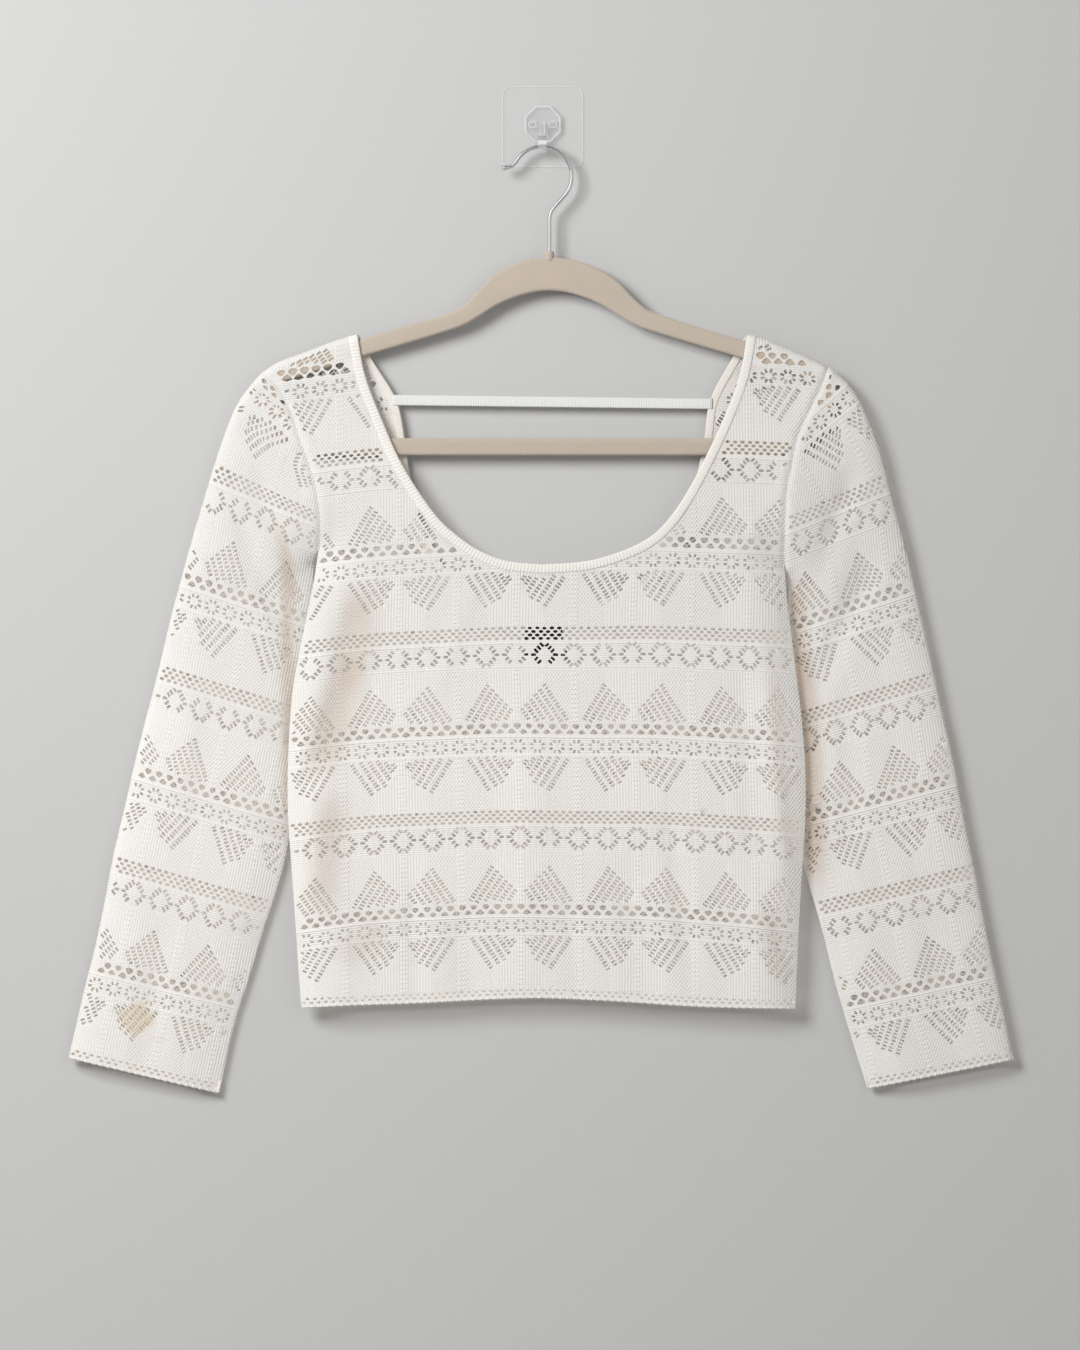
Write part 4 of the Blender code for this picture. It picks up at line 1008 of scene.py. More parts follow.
def rope(pitch, size):
    """Slanting ridges round a strip."""
    return lambda s, turn: 1 + size * np.cos(2 * np.pi * (s / pitch - turn)) * (0.85 + 0.15 * np.sin(s / 7.3))


def grooves(count, size):
    """Fine ridges along a flat tape."""
    return lambda s, turn: 1 + size * np.cos(2 * np.pi * count * turn) + 0.006 * np.sin(s / 1.9)


# ---- materials ----------------------------------------------------------------------------------
class Field:
    """A number that a material's nodes work out, with the usual operators."""

    def __init__(self, tree, socket):
        self.tree, self.socket = tree, socket

    def math(self, operation, *others, clamp=False):
        n = self.tree.nodes.new("ShaderNodeMath")
        n.operation, n.use_clamp = operation, clamp
        for i, v in enumerate((self, *others)):
            if isinstance(v, Field):
                self.tree.links.new(v.socket, n.inputs[i])
            else:
                n.inputs[i].default_value = float(v)
        return Field(self.tree, n.outputs[0])

    def __add__(self, other):
        return self.math("ADD", other)

    def __sub__(self, other):
        return self.math("SUBTRACT", other)

    def __mul__(self, other):
        return self.math("MULTIPLY", other)

    def wave(self, pitch, turn=0.0):
        """0 to 1 and back every pitch."""
        return (self * (2 * math.pi / pitch) + turn * 2 * math.pi).math("SINE") * 0.5 + 0.5

    def step(self, low, high):
        n = self.tree.nodes.new("ShaderNodeMapRange")
        n.interpolation_type = "SMOOTHSTEP"
        self.tree.links.new(self.socket, n.inputs["Value"])
        n.inputs["From Min"].default_value, n.inputs["From Max"].default_value = low, high
        return Field(self.tree, n.outputs["Result"])

    def band(self, low, high, soft=1.5):
        return self.step(low - soft, low + soft) * (self.step(high - soft, high + soft) * -1.0 + 1.0)


def new_material(name, colour, roughness):
    m = bpy.data.materials.new(name)
    m.use_nodes = True
    p = m.node_tree.nodes["Principled BSDF"]
    p.inputs["Base Color"].default_value = (*colour, 1.0)
    p.inputs["Roughness"].default_value = roughness
    return m, m.node_tree, p


def noise(tree, scale, detail=3.0):
    """Noise over the piece's own coordinates, from 0 to 1."""
    where = tree.nodes.new("ShaderNodeTexCoord")
    n = tree.nodes.new("ShaderNodeTexNoise")
    n.inputs["Scale"].default_value = scale
    n.inputs["Detail"].default_value = detail
    tree.links.new(where.outputs["Object"], n.inputs["Vector"])
    return Field(tree, n.outputs["Fac"])


def place_xyz(tree, uv=None):
    if uv:
        source = tree.nodes.new("ShaderNodeUVMap")
        source.uv_map = uv
        socket = source.outputs["UV"]
    else:
        socket = tree.nodes.new("ShaderNodeTexCoord").outputs["Object"]
    split = tree.nodes.new("ShaderNodeSeparateXYZ")
    tree.links.new(socket, split.inputs[0])
    return [Field(tree, split.outputs[i]) for i in range(3)]


def blend_colour(tree, factor, a, b):
    n = tree.nodes.new("ShaderNodeMix")
    n.data_type = "RGBA"
    tree.links.new(factor.socket, n.inputs["Factor"])
    for key, v in ((6, a), (7, b)):
        if isinstance(v, tuple):
            n.inputs[key].default_value = (*v, 1.0)
        else:
            tree.links.new(v, n.inputs[key])
    return n.outputs[2]


def add_bump(tree, shader, height, distance, strength=1.0):
    n = tree.nodes.new("ShaderNodeBump")
    n.inputs["Strength"].default_value = strength
    n.inputs["Distance"].default_value = distance
    tree.links.new(height.socket, n.inputs["Height"])
    tree.links.new(n.outputs["Normal"], shader.inputs["Normal"])
    return n.outputs["Normal"]


def see_through(tree, shader, share, by_sides=None, tint=(1.0, 0.985, 0.965)):
    """Lets a share of the lamps' light through the lace, so that what is behind it is lit too."""
    ray = tree.nodes.new("ShaderNodeLightPath")
    part = Field(tree, ray.outputs["Is Shadow Ray"]) * share
    if by_sides is not None:
        shut = tree.nodes.new("ShaderNodeAttribute")
        shut.attribute_name = "shut"
        part = part * (Field(tree, shut.outputs["Fac"]) * (by_sides / share - 1.0) + 1.0)
    clear = tree.nodes.new("ShaderNodeBsdfTransparent")
    clear.inputs["Color"].default_value = (*tint, 1.0)
    mix = tree.nodes.new("ShaderNodeMixShader")
    tree.links.new(part.socket, mix.inputs[0])
    tree.links.new(shader.outputs[0], mix.inputs[1])
    tree.links.new(clear.outputs[0], mix.inputs[2])
    out = next(x for x in tree.nodes if x.type == "OUTPUT_MATERIAL")
    tree.links.new(mix.outputs[0], out.inputs["Surface"])


Spot = namedtuple("Spot", "x z reach_x reach_z colour")
CREAM = (0.807, 0.787, 0.755)
# CREAM_LOW is the knit's colour in the low points of its relief: painted shade in its hollows
CREAM_LOW = (0.73, 0.702, 0.66)
# the colour that painted shade in folds blends towards
PAINTED_SHADE_COLOUR = (0.58, 0.505, 0.44)


def knit_material(name, through_share, light=CREAM, dark=CREAM_LOW, spots=(), shade_colour=PAINTED_SHADE_COLOUR, tint=(1.0, 0.985, 0.965)):
    """The lace knit: stitches and ribs that change over the repeat as the photograph shows."""
    m, tree, shader = new_material(name, light, 0.93)
    shader.inputs["Sheen Weight"].default_value = 0.12
    shader.inputs["Specular IOR Level"].default_value = 0.25
    x, y, _ = place_xyz(tree, "chart")
    x, y = x * 100.0, y * 100.0
    t = (y + 1860.0).math("MODULO", REPEAT_HIGH)
    turn = (x * (1 / REPEAT_WIDE) + 64.0).math("FRACT")  # 0 at a symmetry line, 0.5 between two
    from_a = ((turn + 0.5).math("FRACT") - 0.5).math("ABSOLUTE") * REPEAT_WIDE
    from_b = (turn - 0.5).math("ABSOLUTE") * REPEAT_WIDE
    near_a = from_a.step(30.0, 22.0)
    ribs = x.wave(REPEAT_WIDE / 40) * (y.wave(2.5) * 0.4 + 0.6)
    slant = (x + y * 0.72).wave(3.3)
    lattice = slant * (x - y * 0.72).wave(3.3) * 1.3
    ridges = y.wave(2.35)
    beads = y.wave(4.6) * (from_a.step(4.2, 2.6) + from_b.step(4.8, 3.0))
    fans = t.band(43.0, 97.0) + t.band(129.0, 186.5)
    zone = ribs * near_a + lattice * (near_a * -1.0 + 1.0)
    flat_rows = t.band(15.0, 43.0) + t.band(109.0, 129.0)
    threads = t.band(15.6, 18.0, 0.5) + t.band(39.4, 41.8, 0.5) + t.band(109.4, 111.4, 0.5) + t.band(128.0, 130.0, 0.5)
    stitch = (y + (x * 0.5).wave(2.9) * 1.1).wave(2.3) * 0.28
    yarn = noise(tree, 1300.0, 2.0)
    height = fans * zone * 0.8 + fans * beads * 0.75 + flat_rows * ridges * 0.8 + threads * 0.5 + stitch + yarn * 0.4
    # the low points of the knit's relief get the darker colour: painted shade in its hollows
    low = (height * -1.0 + 1.0).math("MULTIPLY", 0.8, clamp=True)
    wide = noise(tree, 22.0, 3.0).step(0.35, 0.7)
    colour = blend_colour(tree, low, light, dark)
    colour = blend_colour(tree, wide * 0.16, colour, (0.79, 0.78, 0.755))
    px, _, pz = place_xyz(tree)
    # painted shade: the cloth is painted darker towards the top, over the shoulders
    colour = blend_colour(tree, pz.step(-0.52, -0.25) * 0.72, colour, (0.68, 0.665, 0.638))
    # painted shade: an attribute on the mesh blends the colour towards the painted shade colour
    shade = tree.nodes.new("ShaderNodeAttribute")
    shade.attribute_name = "painted_shade"
    colour = blend_colour(tree, Field(tree, shade.outputs["Fac"]), colour, shade_colour)
    for s in spots:
        dx = (px - s.x * MM) * (1 / (s.reach_x * MM))
        dz = (pz - s.z * MM) * (1 / (s.reach_z * MM))
        u, v = dx * 0.84 + dz * 0.54, dx * -0.54 + dz * 0.84  # they follow the fan's slant
        d = (u * u) * (u * u) + (v * v) * (v * v)
        colour = blend_colour(tree, d.step(1.5, 0.05) * 0.66, colour, s.colour)
    tree.links.new(colour, shader.inputs["Base Color"])
    add_bump(tree, shader, height, 0.00036, 0.8)
    see_through(tree, shader, through_share, 0.78, tint)
    return m


def strip_material(name, light, dark, pitch, through_share=0.0, sheen=0.1, roughness=0.9, yarn_scale=1500.0, cross=0.0, bump=0.0004):
    """A narrow knitted or woven strip. The first coordinate runs along it, in tenths of a metre."""
    m, tree, shader = new_material(name, light, roughness)
    shader.inputs["Sheen Weight"].default_value = sheen
    shader.inputs["Specular IOR Level"].default_value = 0.3
    s, turn, _ = place_xyz(tree, "chart")
    ribs = (s * 100.0 + turn * cross).wave(pitch)
    yarn = noise(tree, yarn_scale, 2.0)
    height = ribs * 0.6 + yarn * 0.5
    wide = noise(tree, 30.0, 2.0).step(0.35, 0.7)
    # the low points of the strip's relief get the darker colour: painted shade in the hollows between its ribs
    low = (height * -1.0 + 0.9).math("MULTIPLY", 0.8, clamp=True)
    colour = blend_colour(tree, low, light, dark)
    colour = blend_colour(tree, wide * 0.12, colour, dark)
    tree.links.new(colour, shader.inputs["Base Color"])
    add_bump(tree, shader, height, bump, 0.8)
    if through_share:
        see_through(tree, shader, through_share)
    return m


def velvet_material():
    m, tree, shader = new_material("velvet_flock", (0.50, 0.43, 0.36), 0.97)
    shader.inputs["Sheen Weight"].default_value = 0.45
    shader.inputs["Sheen Roughness"].default_value = 0.5
    shader.inputs["Specular IOR Level"].default_value = 0.15
    flock = noise(tree, 1800.0, 3.0)
    brushed = noise(tree, 60.0, 4.0)
    colour = blend_colour(tree, flock.step(0.3, 0.7), (0.44, 0.375, 0.31), (0.55, 0.475, 0.395))
    colour = blend_colour(tree, brushed.step(0.35, 0.75) * 0.35, colour, (0.455, 0.395, 0.33))
    tree.links.new(colour, shader.inputs["Base Color"])
    add_bump(tree, shader, flock * 0.7 + brushed * 0.3, 0.0004, 0.7)
    return m


def chrome_material():
    m, tree, shader = new_material("bright_wire", (0.62, 0.625, 0.63), 0.22)
    shader.inputs["Metallic"].default_value = 1.0
    worn = noise(tree, 260.0, 4.0)
    drawn = noise(tree, 2400.0, 2.0)
    tree.links.new((worn * 0.05 + 0.2).socket, shader.inputs["Roughness"])
    colour = blend_colour(tree, worn.step(0.4, 0.75), (0.80, 0.805, 0.81), (0.72, 0.725, 0.73))
    tree.links.new(colour, shader.inputs["Base Color"])
    add_bump(tree, shader, drawn, 0.00002, 0.12)
    return m


def clear_material(name, see, painted_rim_highlight, half, corner, cut):
    """Clear moulded plastic, drawn more opaque in a band round its rim as a painted highlight along its edge: half is
    half its width, corner how far its corners are cut (cut) or rounded, in metres."""
    m, tree, shader = new_material(name, (0.90, 0.91, 0.91), 0.1)
    x, _, z = place_xyz(tree)
    x, z = x.math("ABSOLUTE"), (z - cut).math("ABSOLUTE")
    if corner:
        dx = (x - (half - corner)).math("MAXIMUM", 0.0)
        dz = (z - (half - corner)).math("MAXIMUM", 0.0)
        far = (dx * dx + dz * dz).math("SQRT") + (half - corner)
        far = far.math("MAXIMUM", x.math("MAXIMUM", z))
    else:
        far = (x + z).math("MULTIPLY", math.sqrt(0.5)).math("MAXIMUM", x.math("MAXIMUM", z))
    # a band at the rim is drawn more opaque: a painted highlight along the plastic's edge
    edge = far.band(half - 0.0009, half + 0.002, 0.0003)
    swirl = noise(tree, 90.0, 2.0)
    alpha = edge * painted_rim_highlight + (swirl * 0.04 + see)
    tree.links.new(alpha.math("MINIMUM", 1.0).socket, shader.inputs["Alpha"])
    rough = noise(tree, 400.0, 3.0) * 0.12 + 0.05
    tree.links.new(rough.socket, shader.inputs["Roughness"])
    return m


# a sheet has two faces, so a front lets about 0.7 of the lamps' light on to the back
SLEEVE_TINT = (1.0, 0.975, 0.95)
knit = knit_material("knit_lace", 0.82)
# the right sleeve's copy of the knit is painted a little darker: painted shade on the side away from the key lamp
knit_right_shaded = knit_material("knit_lace_right_shaded", 0.82, (0.785, 0.767, 0.737), (0.712, 0.686, 0.646), tint=SLEEVE_TINT)
# the back's copy of the knit is painted darker and warmer, painted shade of cloth seen behind other cloth; its shade
# colour is the painted shade where the front covers it
knit_back_shaded = knit_material("knit_lace_back_shaded", 0.9, (0.80, 0.765, 0.715), (0.73, 0.685, 0.63), shade_colour=(0.57, 0.545, 0.515))
knit_left = knit_material(
    "knit_lace_left",
    0.82,
    (0.802, 0.783, 0.752),
    (0.728, 0.70, 0.66),
    tint=SLEEVE_TINT,
    spots=(
        Spot(-304.6, -669.4, 12.0, 11.0, (0.72, 0.585, 0.40)),
        Spot(-287.8, -685.6, 5.4, 3.2, (0.79, 0.69, 0.62)),
    ),
)
edge_knit = strip_material("knit_edge", (0.815, 0.79, 0.75), (0.73, 0.695, 0.645), 2.6, through_share=0.3, cross=2.6, bump=0.0005)
tape = strip_material("woven_tape", (0.815, 0.78, 0.73), (0.73, 0.685, 0.625), 1.1, through_share=0.3)
elastic = strip_material("flat_elastic", (0.77, 0.77, 0.755), (0.70, 0.695, 0.68), 1.3, roughness=0.75)
black = strip_material("black_label", (0.022, 0.022, 0.024), (0.008, 0.008, 0.009), 0.9, roughness=0.7, sheen=0.05)
velvet = velvet_material()
chrome = chrome_material()
plate_clear = clear_material("clear_plate", 0.015, 0.13, 0.0305, 0.0065, 0.0)
hook_clear = clear_material("clear_hook", 0.10, 0.22, 0.0135, 0.0, 0.0019)
mould_clear = clear_material("clear_mould", 0.55, 0.0, 0.0135, 0.0, 0.0019)

# ---- the cloth ---------------------------------------------------------------------------------
front_chart = BodyChart(AXIS_X, ROW0_Z, 0.0)
back_chart = BodyChart(AXIS_X + 33.0, ROW0_Z - 17.5, 1.5)
front, front_area = build_panel(
    "front_cloth", FRONT_EDGE, "front", front_chart, 11, knit, BINDING_WIDTH, FRONT_PAINTED_SHADE
)
back, back_area = build_panel("back_cloth", BACK_EDGE, "back", back_chart, 23, knit_back_shaded, TAPE_WIDTH, [])
left, left_area = build_sleeve(
    "sleeve_left_cloth",
    "L",
    SleeveChart(ROWS_LEFT, AXIS_LEFT),
    SleeveChart(ROWS_LEFT, AXIS_LEFT, 41.0, 30.0),
    31,
    knit_left,
    LEFT_PAINTED_SHADE,
)
right, right_area = build_sleeve(
    "sleeve_right_cloth",
    "R",
    SleeveChart(ROWS_RIGHT, AXIS_RIGHT),
    SleeveChart(ROWS_RIGHT, AXIS_RIGHT, 37.0, 28.0),
    41,
    knit_right_shaded,
    RIGHT_PAINTED_SHADE,
)


def front_depth(p):
    return body_y(p, "front")


def back_depth(p):
    return body_y(p, "back")


front_binding = swept(
    "neck_rope",
    resample(offset(FRONT_EDGE, -BINDING_WIDTH / 2), 0.8),
    oval(BINDING_WIDTH / 2, 1.15, 16, 0.6),
    front_depth,
    edge_knit,
    rope(1.9, 0.022),
)
back_binding = swept(
    "neck_tape",
    resample(offset(BACK_EDGE, -TAPE_WIDTH / 2), 1.6),
    oval(TAPE_WIDTH / 2, 0.95, 16, 0.45),
    back_depth,
    tape,
    grooves(8, 0.035),
)
pieces = [
    (front, ["front_panel"], "knit"),
    (back, ["back_panel"], "knit"),
    (left, ["sleeve_L_front", "sleeve_L_back"], "knit"),
    (right, ["sleeve_R_front", "sleeve_R_back"], "knit"),
    (front_binding, ["neck_binding_front"], "knit"),
    (back_binding, ["neck_binding_back"], "tape"),
]

going_with = {"front": [front_binding], "back": [back_binding], "L": [], "R": []}
for face, depth in (("front", front_depth), ("back", back_depth)):
    fold = turned_up(f"hem_{face}_fold", FOOT, body_y, (face,), 16 if face == "front" else 28, knit if face == "front" else knit_back_shaded)
    roll = swept(
        f"hem_{face}_edge",
        resample(offset(FOOT, 0.1), 0.7),
        oval(0.95, 0.85, 8),
        lambda p, face=face: body_y(p, face) + (0.4 if face == "front" else -0.4),
        edge_knit,
        lambda s, turn: 0.66 + 0.72 * np.abs(np.sin(np.pi * s / 5.5)) + 0.1 * np.cos(2 * np.pi * (s / 1.85 - turn)),
    )
    pieces += [(fold, [f"hem_{face}"], "knit"), (roll, [], "knit")]
    going_with[face] += [fold, roll]
for hand in "LR":
    foot = cuff_line(hand)
    fold = turned_up(f"cuff_{hand}_fold", foot, lambda p, face, hand=hand: sleeve_y(p, face, hand), ("front", "back"), 36 if hand == "L" else 46, knit)
    pieces.append((fold, [f"cuff_{hand}"], "knit"))
    going_with[hand].append(fold)
    for face in ("front", "back"):
        roll = swept(
            f"cuff_{hand}_{face}_edge",
            resample(offset(foot, 0.1), 0.7),
            oval(0.95, 0.85, 8),
            lambda p, face=face, hand=hand: sleeve_y(p, face, hand) + (0.4 if face == "front" else -0.4),
            edge_knit,
            lambda s, turn: 0.66 + 0.72 * np.abs(np.sin(np.pi * s / 5.5)) + 0.1 * np.cos(2 * np.pi * (s / 1.85 - turn)),
        )
        pieces.append((roll, [], "knit"))
        going_with[hand].append(roll)


def edge_x(rows, hand, z):
    line = through(column(rows, "left" if hand == "L" else "right", "z"), 90)
    return float(np.interp(z, line[:, 1], line[:, 0]))


# the strap between the back neckline's legs, over their inner faces
STRAP_LEFT_Z, STRAP_RIGHT_Z = -205.6, -208.4
ends = [(edge_x(BACK_NECK, "L", STRAP_LEFT_Z) - 2.5, STRAP_LEFT_Z), (edge_x(BACK_NECK, "R", STRAP_RIGHT_Z) + 2.5, STRAP_RIGHT_Z)]
share = np.linspace(0.0, 1.0, 120)
strap_line = np.stack([lerp(ends[0][0], ends[1][0], share), lerp(ends[0][1], ends[1][1], share)], axis=1)
end_y = body_y(np.array(ends), "back")
strap = swept(
    "back_strap_cloth",
    strap_line,
    oval(3.9, 0.75, 20, 0.35),
    lambda p: lerp(end_y[0], end_y[1], np.clip((p[:, 0] - ends[0][0]) / (ends[1][0] - ends[0][0]), 0, 1)) - 0.9,
    elastic,
    grooves(10, 0.022),
)
label_top = BACK_NECK[0].z - TAPE_WIDTH - 0.6
label_line = np.stack([np.zeros(30) + 0.6, np.linspace(label_top, label_top - 41.0, 30)], axis=1)
label = swept(
    "blank_label",
    label_line,
    oval(14.0, 0.4, 28, 0.3),
    lambda p: body_y(p, "back") - 1.3 + 0.25 * np.sin(p[:, 0] / 5.0),
    black,
    grooves(9, 0.006),
)
pieces += [(strap, ["back_strap"], "elastic"), (label, ["neck_label"], "label")]


# ---- the hanger, its wire and the wall plate ----------------------------------------------------
Reach = namedtuple("Reach", "reach top low right")
HANGER = [
    Reach(0.0, -98.4, -123.4, 0.0),
    Reach(10.0, -99.1, -124.2, 0.0),
    Reach(20.0, -101.2, -126.6, 0.2),
    Reach(30.0, -104.6, -130.0, 0.4),
    Reach(41.0, -110.8, -135.2, 1.8),
    Reach(52.6, -121.8, -142.9, 4.0),
    Reach(64.0, -134.4, -149.6, 4.2),
    Reach(74.0, -140.4, -153.2, 1.6),
    Reach(106.0, -149.3, -162.9, 0.0),
    Reach(144.0, -160.6, -174.0, 0.0),
    Reach(180.0, -172.2, -185.6, 0.0),
    Reach(203.0, -180.8, -193.0, 0.0),
]
HangerEnd = namedtuple("HangerEnd", "reach z")
HANGER_OUTER_END = [
    HangerEnd(210.6, -185.6),
    HangerEnd(215.2, -193.6),
    HangerEnd(215.8, -203.0),
    HangerEnd(212.0, -217.0),
    HangerEnd(204.0, -231.0),
    HangerEnd(192.0, -241.4),
    HangerEnd(176.0, -247.2),
]
HANGER_INNER_END = [
    HangerEnd(170.0, -234.2),
    HangerEnd(184.0, -230.0),
    HangerEnd(194.0, -221.6),
    HangerEnd(201.0, -210.0),
    HangerEnd(203.4, -200.0),
]
HANGER_CENTRE_X, HANGER_WALL, HANGER_ROUND = 5.5, 6.0, 2.3
SHANK_X, LOOP_X, LOOP_Z, LOOP_RADIUS, WIRE_RADIUS = 5.2, -0.5, -37.8, 22.3, 1.5
SHANK_FOOT, SHANK_HEAD = -94.2, -68.0


def round_corners(points, passes=2):
    """A closed outline with its corners cut off, which keeps straight runs straight."""
    for _ in range(passes):
        out = []
        for a, b in zip(points, points[1:] + points[:1]):
            a, b = Vector(a), Vector(b)
            length = (b - a).length
            if length > 1.2:
                cut = min(0.25, 2.5 / length)
                out += [tuple(a.lerp(b, cut)), tuple(a.lerp(b, 1 - cut))]
            else:
                out.append(tuple(a.lerp(b, 0.5)))
        points = out
    return points


def curve_mesh(name, curve, mat, rotate=False, y=0.0):
    guide = bpy.data.objects.new(name + "_guide", curve)
    scene.collection.objects.link(guide)
    if rotate:
        guide.rotation_euler = (math.pi / 2, 0.0, 0.0)
    bpy.context.view_layer.update()
    mesh = bpy.data.meshes.new_from_object(guide.evaluated_get(bpy.context.evaluated_depsgraph_get()))
    mesh.transform(guide.matrix_world)
    bpy.data.objects.remove(guide, do_unlink=True)
    bm = bmesh.new()
    bm.from_mesh(mesh)
    bmesh.ops.remove_doubles(bm, verts=bm.verts, dist=1e-6)
    bmesh.ops.recalc_face_normals(bm, faces=bm.faces)
    bmesh.ops.translate(bm, verts=bm.verts, vec=(0, y * MM, 0))
    bm.to_mesh(mesh)
    bm.free()
    mesh.name = name
    mesh.shade_smooth()
    mesh.materials.clear()
    mesh.materials.append(mat)
    ob = bpy.data.objects.new(name, mesh)
    scene.collection.objects.link(ob)
    return ob


def build_hanger():
    def ends(rows, key):
        return [(HANGER_CENTRE_X + r.reach, key(r)) for r in rows], [(HANGER_CENTRE_X - r.reach, key(r)) for r in rows]

    top_r, _ = ends(HANGER, lambda r: r.top + r.right)
    _, top_l = ends(HANGER, lambda r: r.top)
    low_r, low_l = ends(HANGER, lambda r: r.low)
    out_r, out_l = ends(HANGER_OUTER_END, lambda r: r.z)
    in_r, in_l = ends(HANGER_INNER_END, lambda r: r.z)
    curve = bpy.data.curves.new("hanger_outline", "CURVE")
    curve.dimensions = "2D"
    curve.fill_mode = "BOTH"
    curve.extrude = (HANGER_WALL / 2 - HANGER_ROUND) * MM
    curve.bevel_depth = HANGER_ROUND * MM
    curve.bevel_resolution = 4
    curve.offset = -HANGER_ROUND * MM
    for loop in (top_r + out_r + out_l[::-1] + top_l[:0:-1], low_r + in_r[::-1] + in_l + low_l[:0:-1]):
        loop = round_corners(loop)
        s = curve.splines.new("POLY")
        s.points.add(len(loop) - 1)
        for point, (x, z) in zip(s.points, loop):
            point.co = (x * MM, z * MM, 0.0, 1.0)
        s.use_cyclic_u = True
    return curve_mesh("velvet_hanger", curve, velvet, rotate=True, y=HANG_Y)


def build_wire():
    route = [(SHANK_X, SHANK_FOOT - 3.0), (SHANK_X, -84.0), (SHANK_X, -74.0), (SHANK_X, SHANK_HEAD - 1.0)]
    route += [(SHANK_X + 0.5, SHANK_HEAD + 1.8), (SHANK_X + 2.0, SHANK_HEAD + 5.0), (SHANK_X + 5.6, SHANK_HEAD + 9.4)]
    for i in range(25):
        angle = math.radians(lerp(-40.0, 150.0, i / 24))
        route.append((LOOP_X + LOOP_RADIUS * math.cos(angle), LOOP_Z + LOOP_RADIUS * math.sin(angle)))
    route += [(-21.4, -28.6), (-23.6, -30.3), (-27.0, -31.2), (-29.2, -31.6), (-30.4, -31.8)]
    line = through(route, 170)
    curve = bpy.data.curves.new("wire_line", "CURVE")
    curve.dimensions = "3D"
    curve.bevel_depth = WIRE_RADIUS * MM
    curve.bevel_resolution = 5
    curve.use_fill_caps = True
    s = curve.splines.new("POLY")
    s.points.add(len(line) - 1)
    for i, (point, (x, z)) in enumerate(zip(s.points, line)):
        point.co = (x * MM, HANG_Y * MM, z * MM, 1.0)
        left = len(line) - 1 - i  # the pressed bead at the tip
        point.radius = 1.0 + 0.28 * math.exp(-(((left - 3.2) / 2.4) ** 2)) - (0.45 if left == 0 else 0.0)
    return curve_mesh("bright_wire", curve, chrome)


def build_collar():
    """The short neck that the wire comes out of."""
    line = np.array([(SHANK_X, z) for z in np.linspace(-101.0, -94.0, 12)])
    return swept(
        "hanger_neck",
        line,
        oval(3.6, 3.6, 20),
        lambda p: np.full(len(p), HANG_Y),
        velvet,
        lambda s, turn: 1.0 - 0.12 * step(s, 5.2, 7.0) + 0 * turn,
    )


def build_plate():
    bm = bmesh.new()
    half, corner = 30.5, 6.5
    loops = []
    for y, inset in ((-0.0, 0.0), (-0.75, 0.0), (-1.05, 0.12), (-1.2, 0.42)):
        ring = []
        for cx, cz, start in ((1, 1, 0), (-1, 1, 90), (-1, -1, 180), (1, -1, 270)):
            for k in range(9):
                a = math.radians(start + 90 * k / 8)
                r = corner - inset
                ring.append(((cx * (half - corner) + r * math.cos(a)) * MM, y * MM, (cz * (half - corner) + r * math.sin(a)) * MM))
        loops.append([bm.verts.new(v) for v in ring])
    for a, b in zip(loops, loops[1:]):
        for i in range(len(a)):
            j = (i + 1) % len(a)
            bm.faces.new((a[i], a[j], b[j], b[i]))
    bm.faces.new(loops[0])
    bm.faces.new(loops[-1])
    bmesh.ops.recalc_face_normals(bm, faces=bm.faces)
    mesh = bpy.data.meshes.new("clear_plate")
    bm.to_mesh(mesh)
    bm.free()
    mesh.materials.append(plate_clear)
    ob = bpy.data.objects.new("clear_plate", mesh)
    scene.collection.objects.link(ob)
    return ob


def build_loop(name, side):
    """One of the two small raised loops on the clear hook's boss."""
    turn = np.linspace(0, 2 * math.pi, 33)
    line = np.stack([side * (7.6 + 2.9 * np.cos(turn)), 1.6 + 2.5 * np.sin(turn)], axis=1)
    return swept(name, line, oval(0.42, 0.3, 8), lambda p: np.full(len(p), -4.6), mould_clear)


def build_rib():
    """The raised edge of the rib that runs down the boss to the hook's arm."""
    turn = np.linspace(math.pi, 0, 9)
    arch = np.stack([-0.2 + 1.7 * np.cos(turn), 1.9 + 1.4 * np.sin(turn)], axis=1)
    line = resample(np.vstack([[(-1.9, -6.6)], arch, [(1.5, -6.6)]]), 0.5)
    return swept("hook_rib", line, oval(0.36, 0.28, 8), lambda p: np.full(len(p), -6.25), mould_clear)


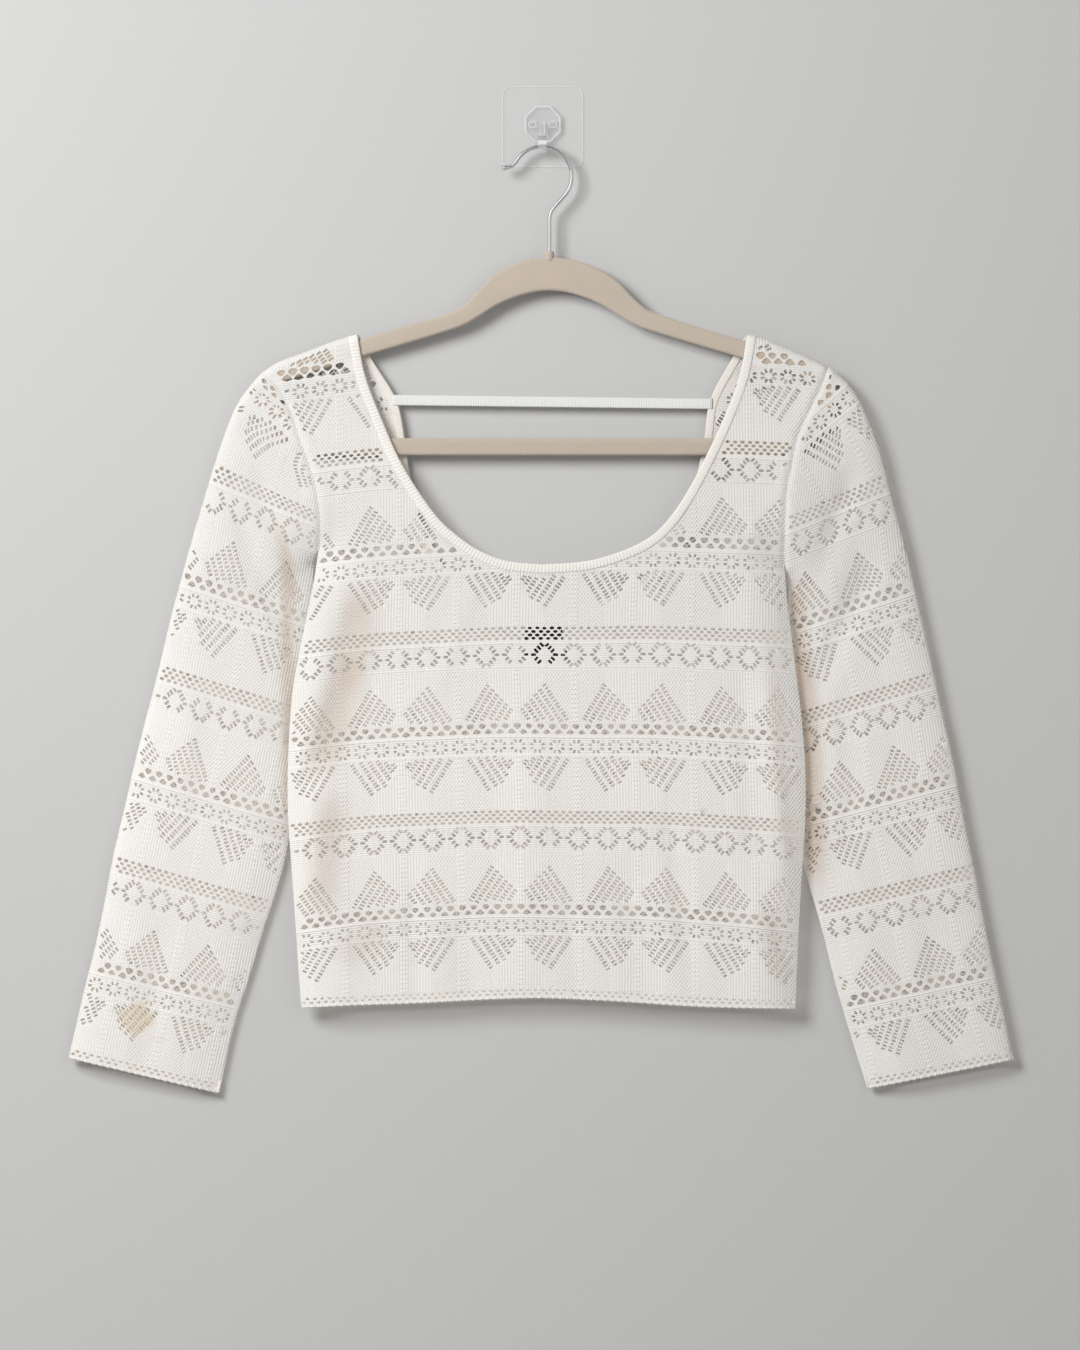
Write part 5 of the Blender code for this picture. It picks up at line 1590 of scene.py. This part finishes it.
hanger, wire, neck, plate = build_hanger(), build_wire(), build_collar(), build_plate()
pieces.append((build_rib(), [], "clear_plastic"))
pieces += [(build_loop(f"hook_loop_{hand}", side), [], "clear_plastic") for hand, side in (("L", -1), ("R", 1))]
pieces += [
    (hanger, ["hanger_body"], "velvet"),
    (neck, [], "velvet"),
    (wire, ["hanger_hook"], "chrome"),
    (plate, ["wall_plate"], "clear_plastic"),
]
for ob, nodes, slot in pieces:
    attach(ob, "root")
    if nodes:
        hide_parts(*nodes)
for s in NODES["wall_hook"].material_slots:
    s.material = hook_clear


# ---- stage ---------------------------------------------------------------------------------------
def plane(name, size, location, rotation, colour):
    bpy.ops.mesh.primitive_plane_add(size=size, location=location, rotation=rotation)
    ob = bpy.context.object
    ob.name = name
    m, _, p = new_material(name, colour, 0.9)
    ob.data.materials.append(m)
    return ob


plane("wall", 6.0, (0, 0.0006, -0.4), (math.pi / 2, 0, 0), (0.53, 0.53, 0.526))
plane("floor", 6.0, (0, -1.0, -1.6), (0, 0, 0), (0.55, 0.55, 0.55))


def area_light(name, location, target, size, power, colour=(1, 1, 1)):
    data = bpy.data.lights.new(name, "AREA")
    data.shape = "RECTANGLE"
    data.size, data.size_y = size
    data.energy = power
    data.color = colour
    ob = bpy.data.objects.new(name, data)
    scene.collection.objects.link(ob)
    ob.location = location
    ob.rotation_euler = (Vector(target) - Vector(location)).to_track_quat("-Z", "Y").to_euler()
    return ob


key = area_light("key", (-1.4, -1.95, 0.7), (0.0, 0, -0.42), (1.1, 1.1), 68, (0.992, 0.996, 1.0))
key.visible_glossy = False
area_light("fill", (1.4, -2.4, 0.1), (0.0, 0, -0.45), (2.0, 2.0), 9)
window = area_light("window", (-1.5, -2.4, 0.7), (0.0, 0, -0.1), (1.5, 1.9), 22)
window.visible_diffuse = False
world = bpy.data.worlds.new("world")
scene.world = world
world.use_nodes = True
world.node_tree.nodes["Background"].inputs["Color"].default_value = (1.0, 0.968, 0.93, 1)
world.node_tree.nodes["Background"].inputs["Strength"].default_value = 0.245
scene.view_settings.view_transform = "Standard"
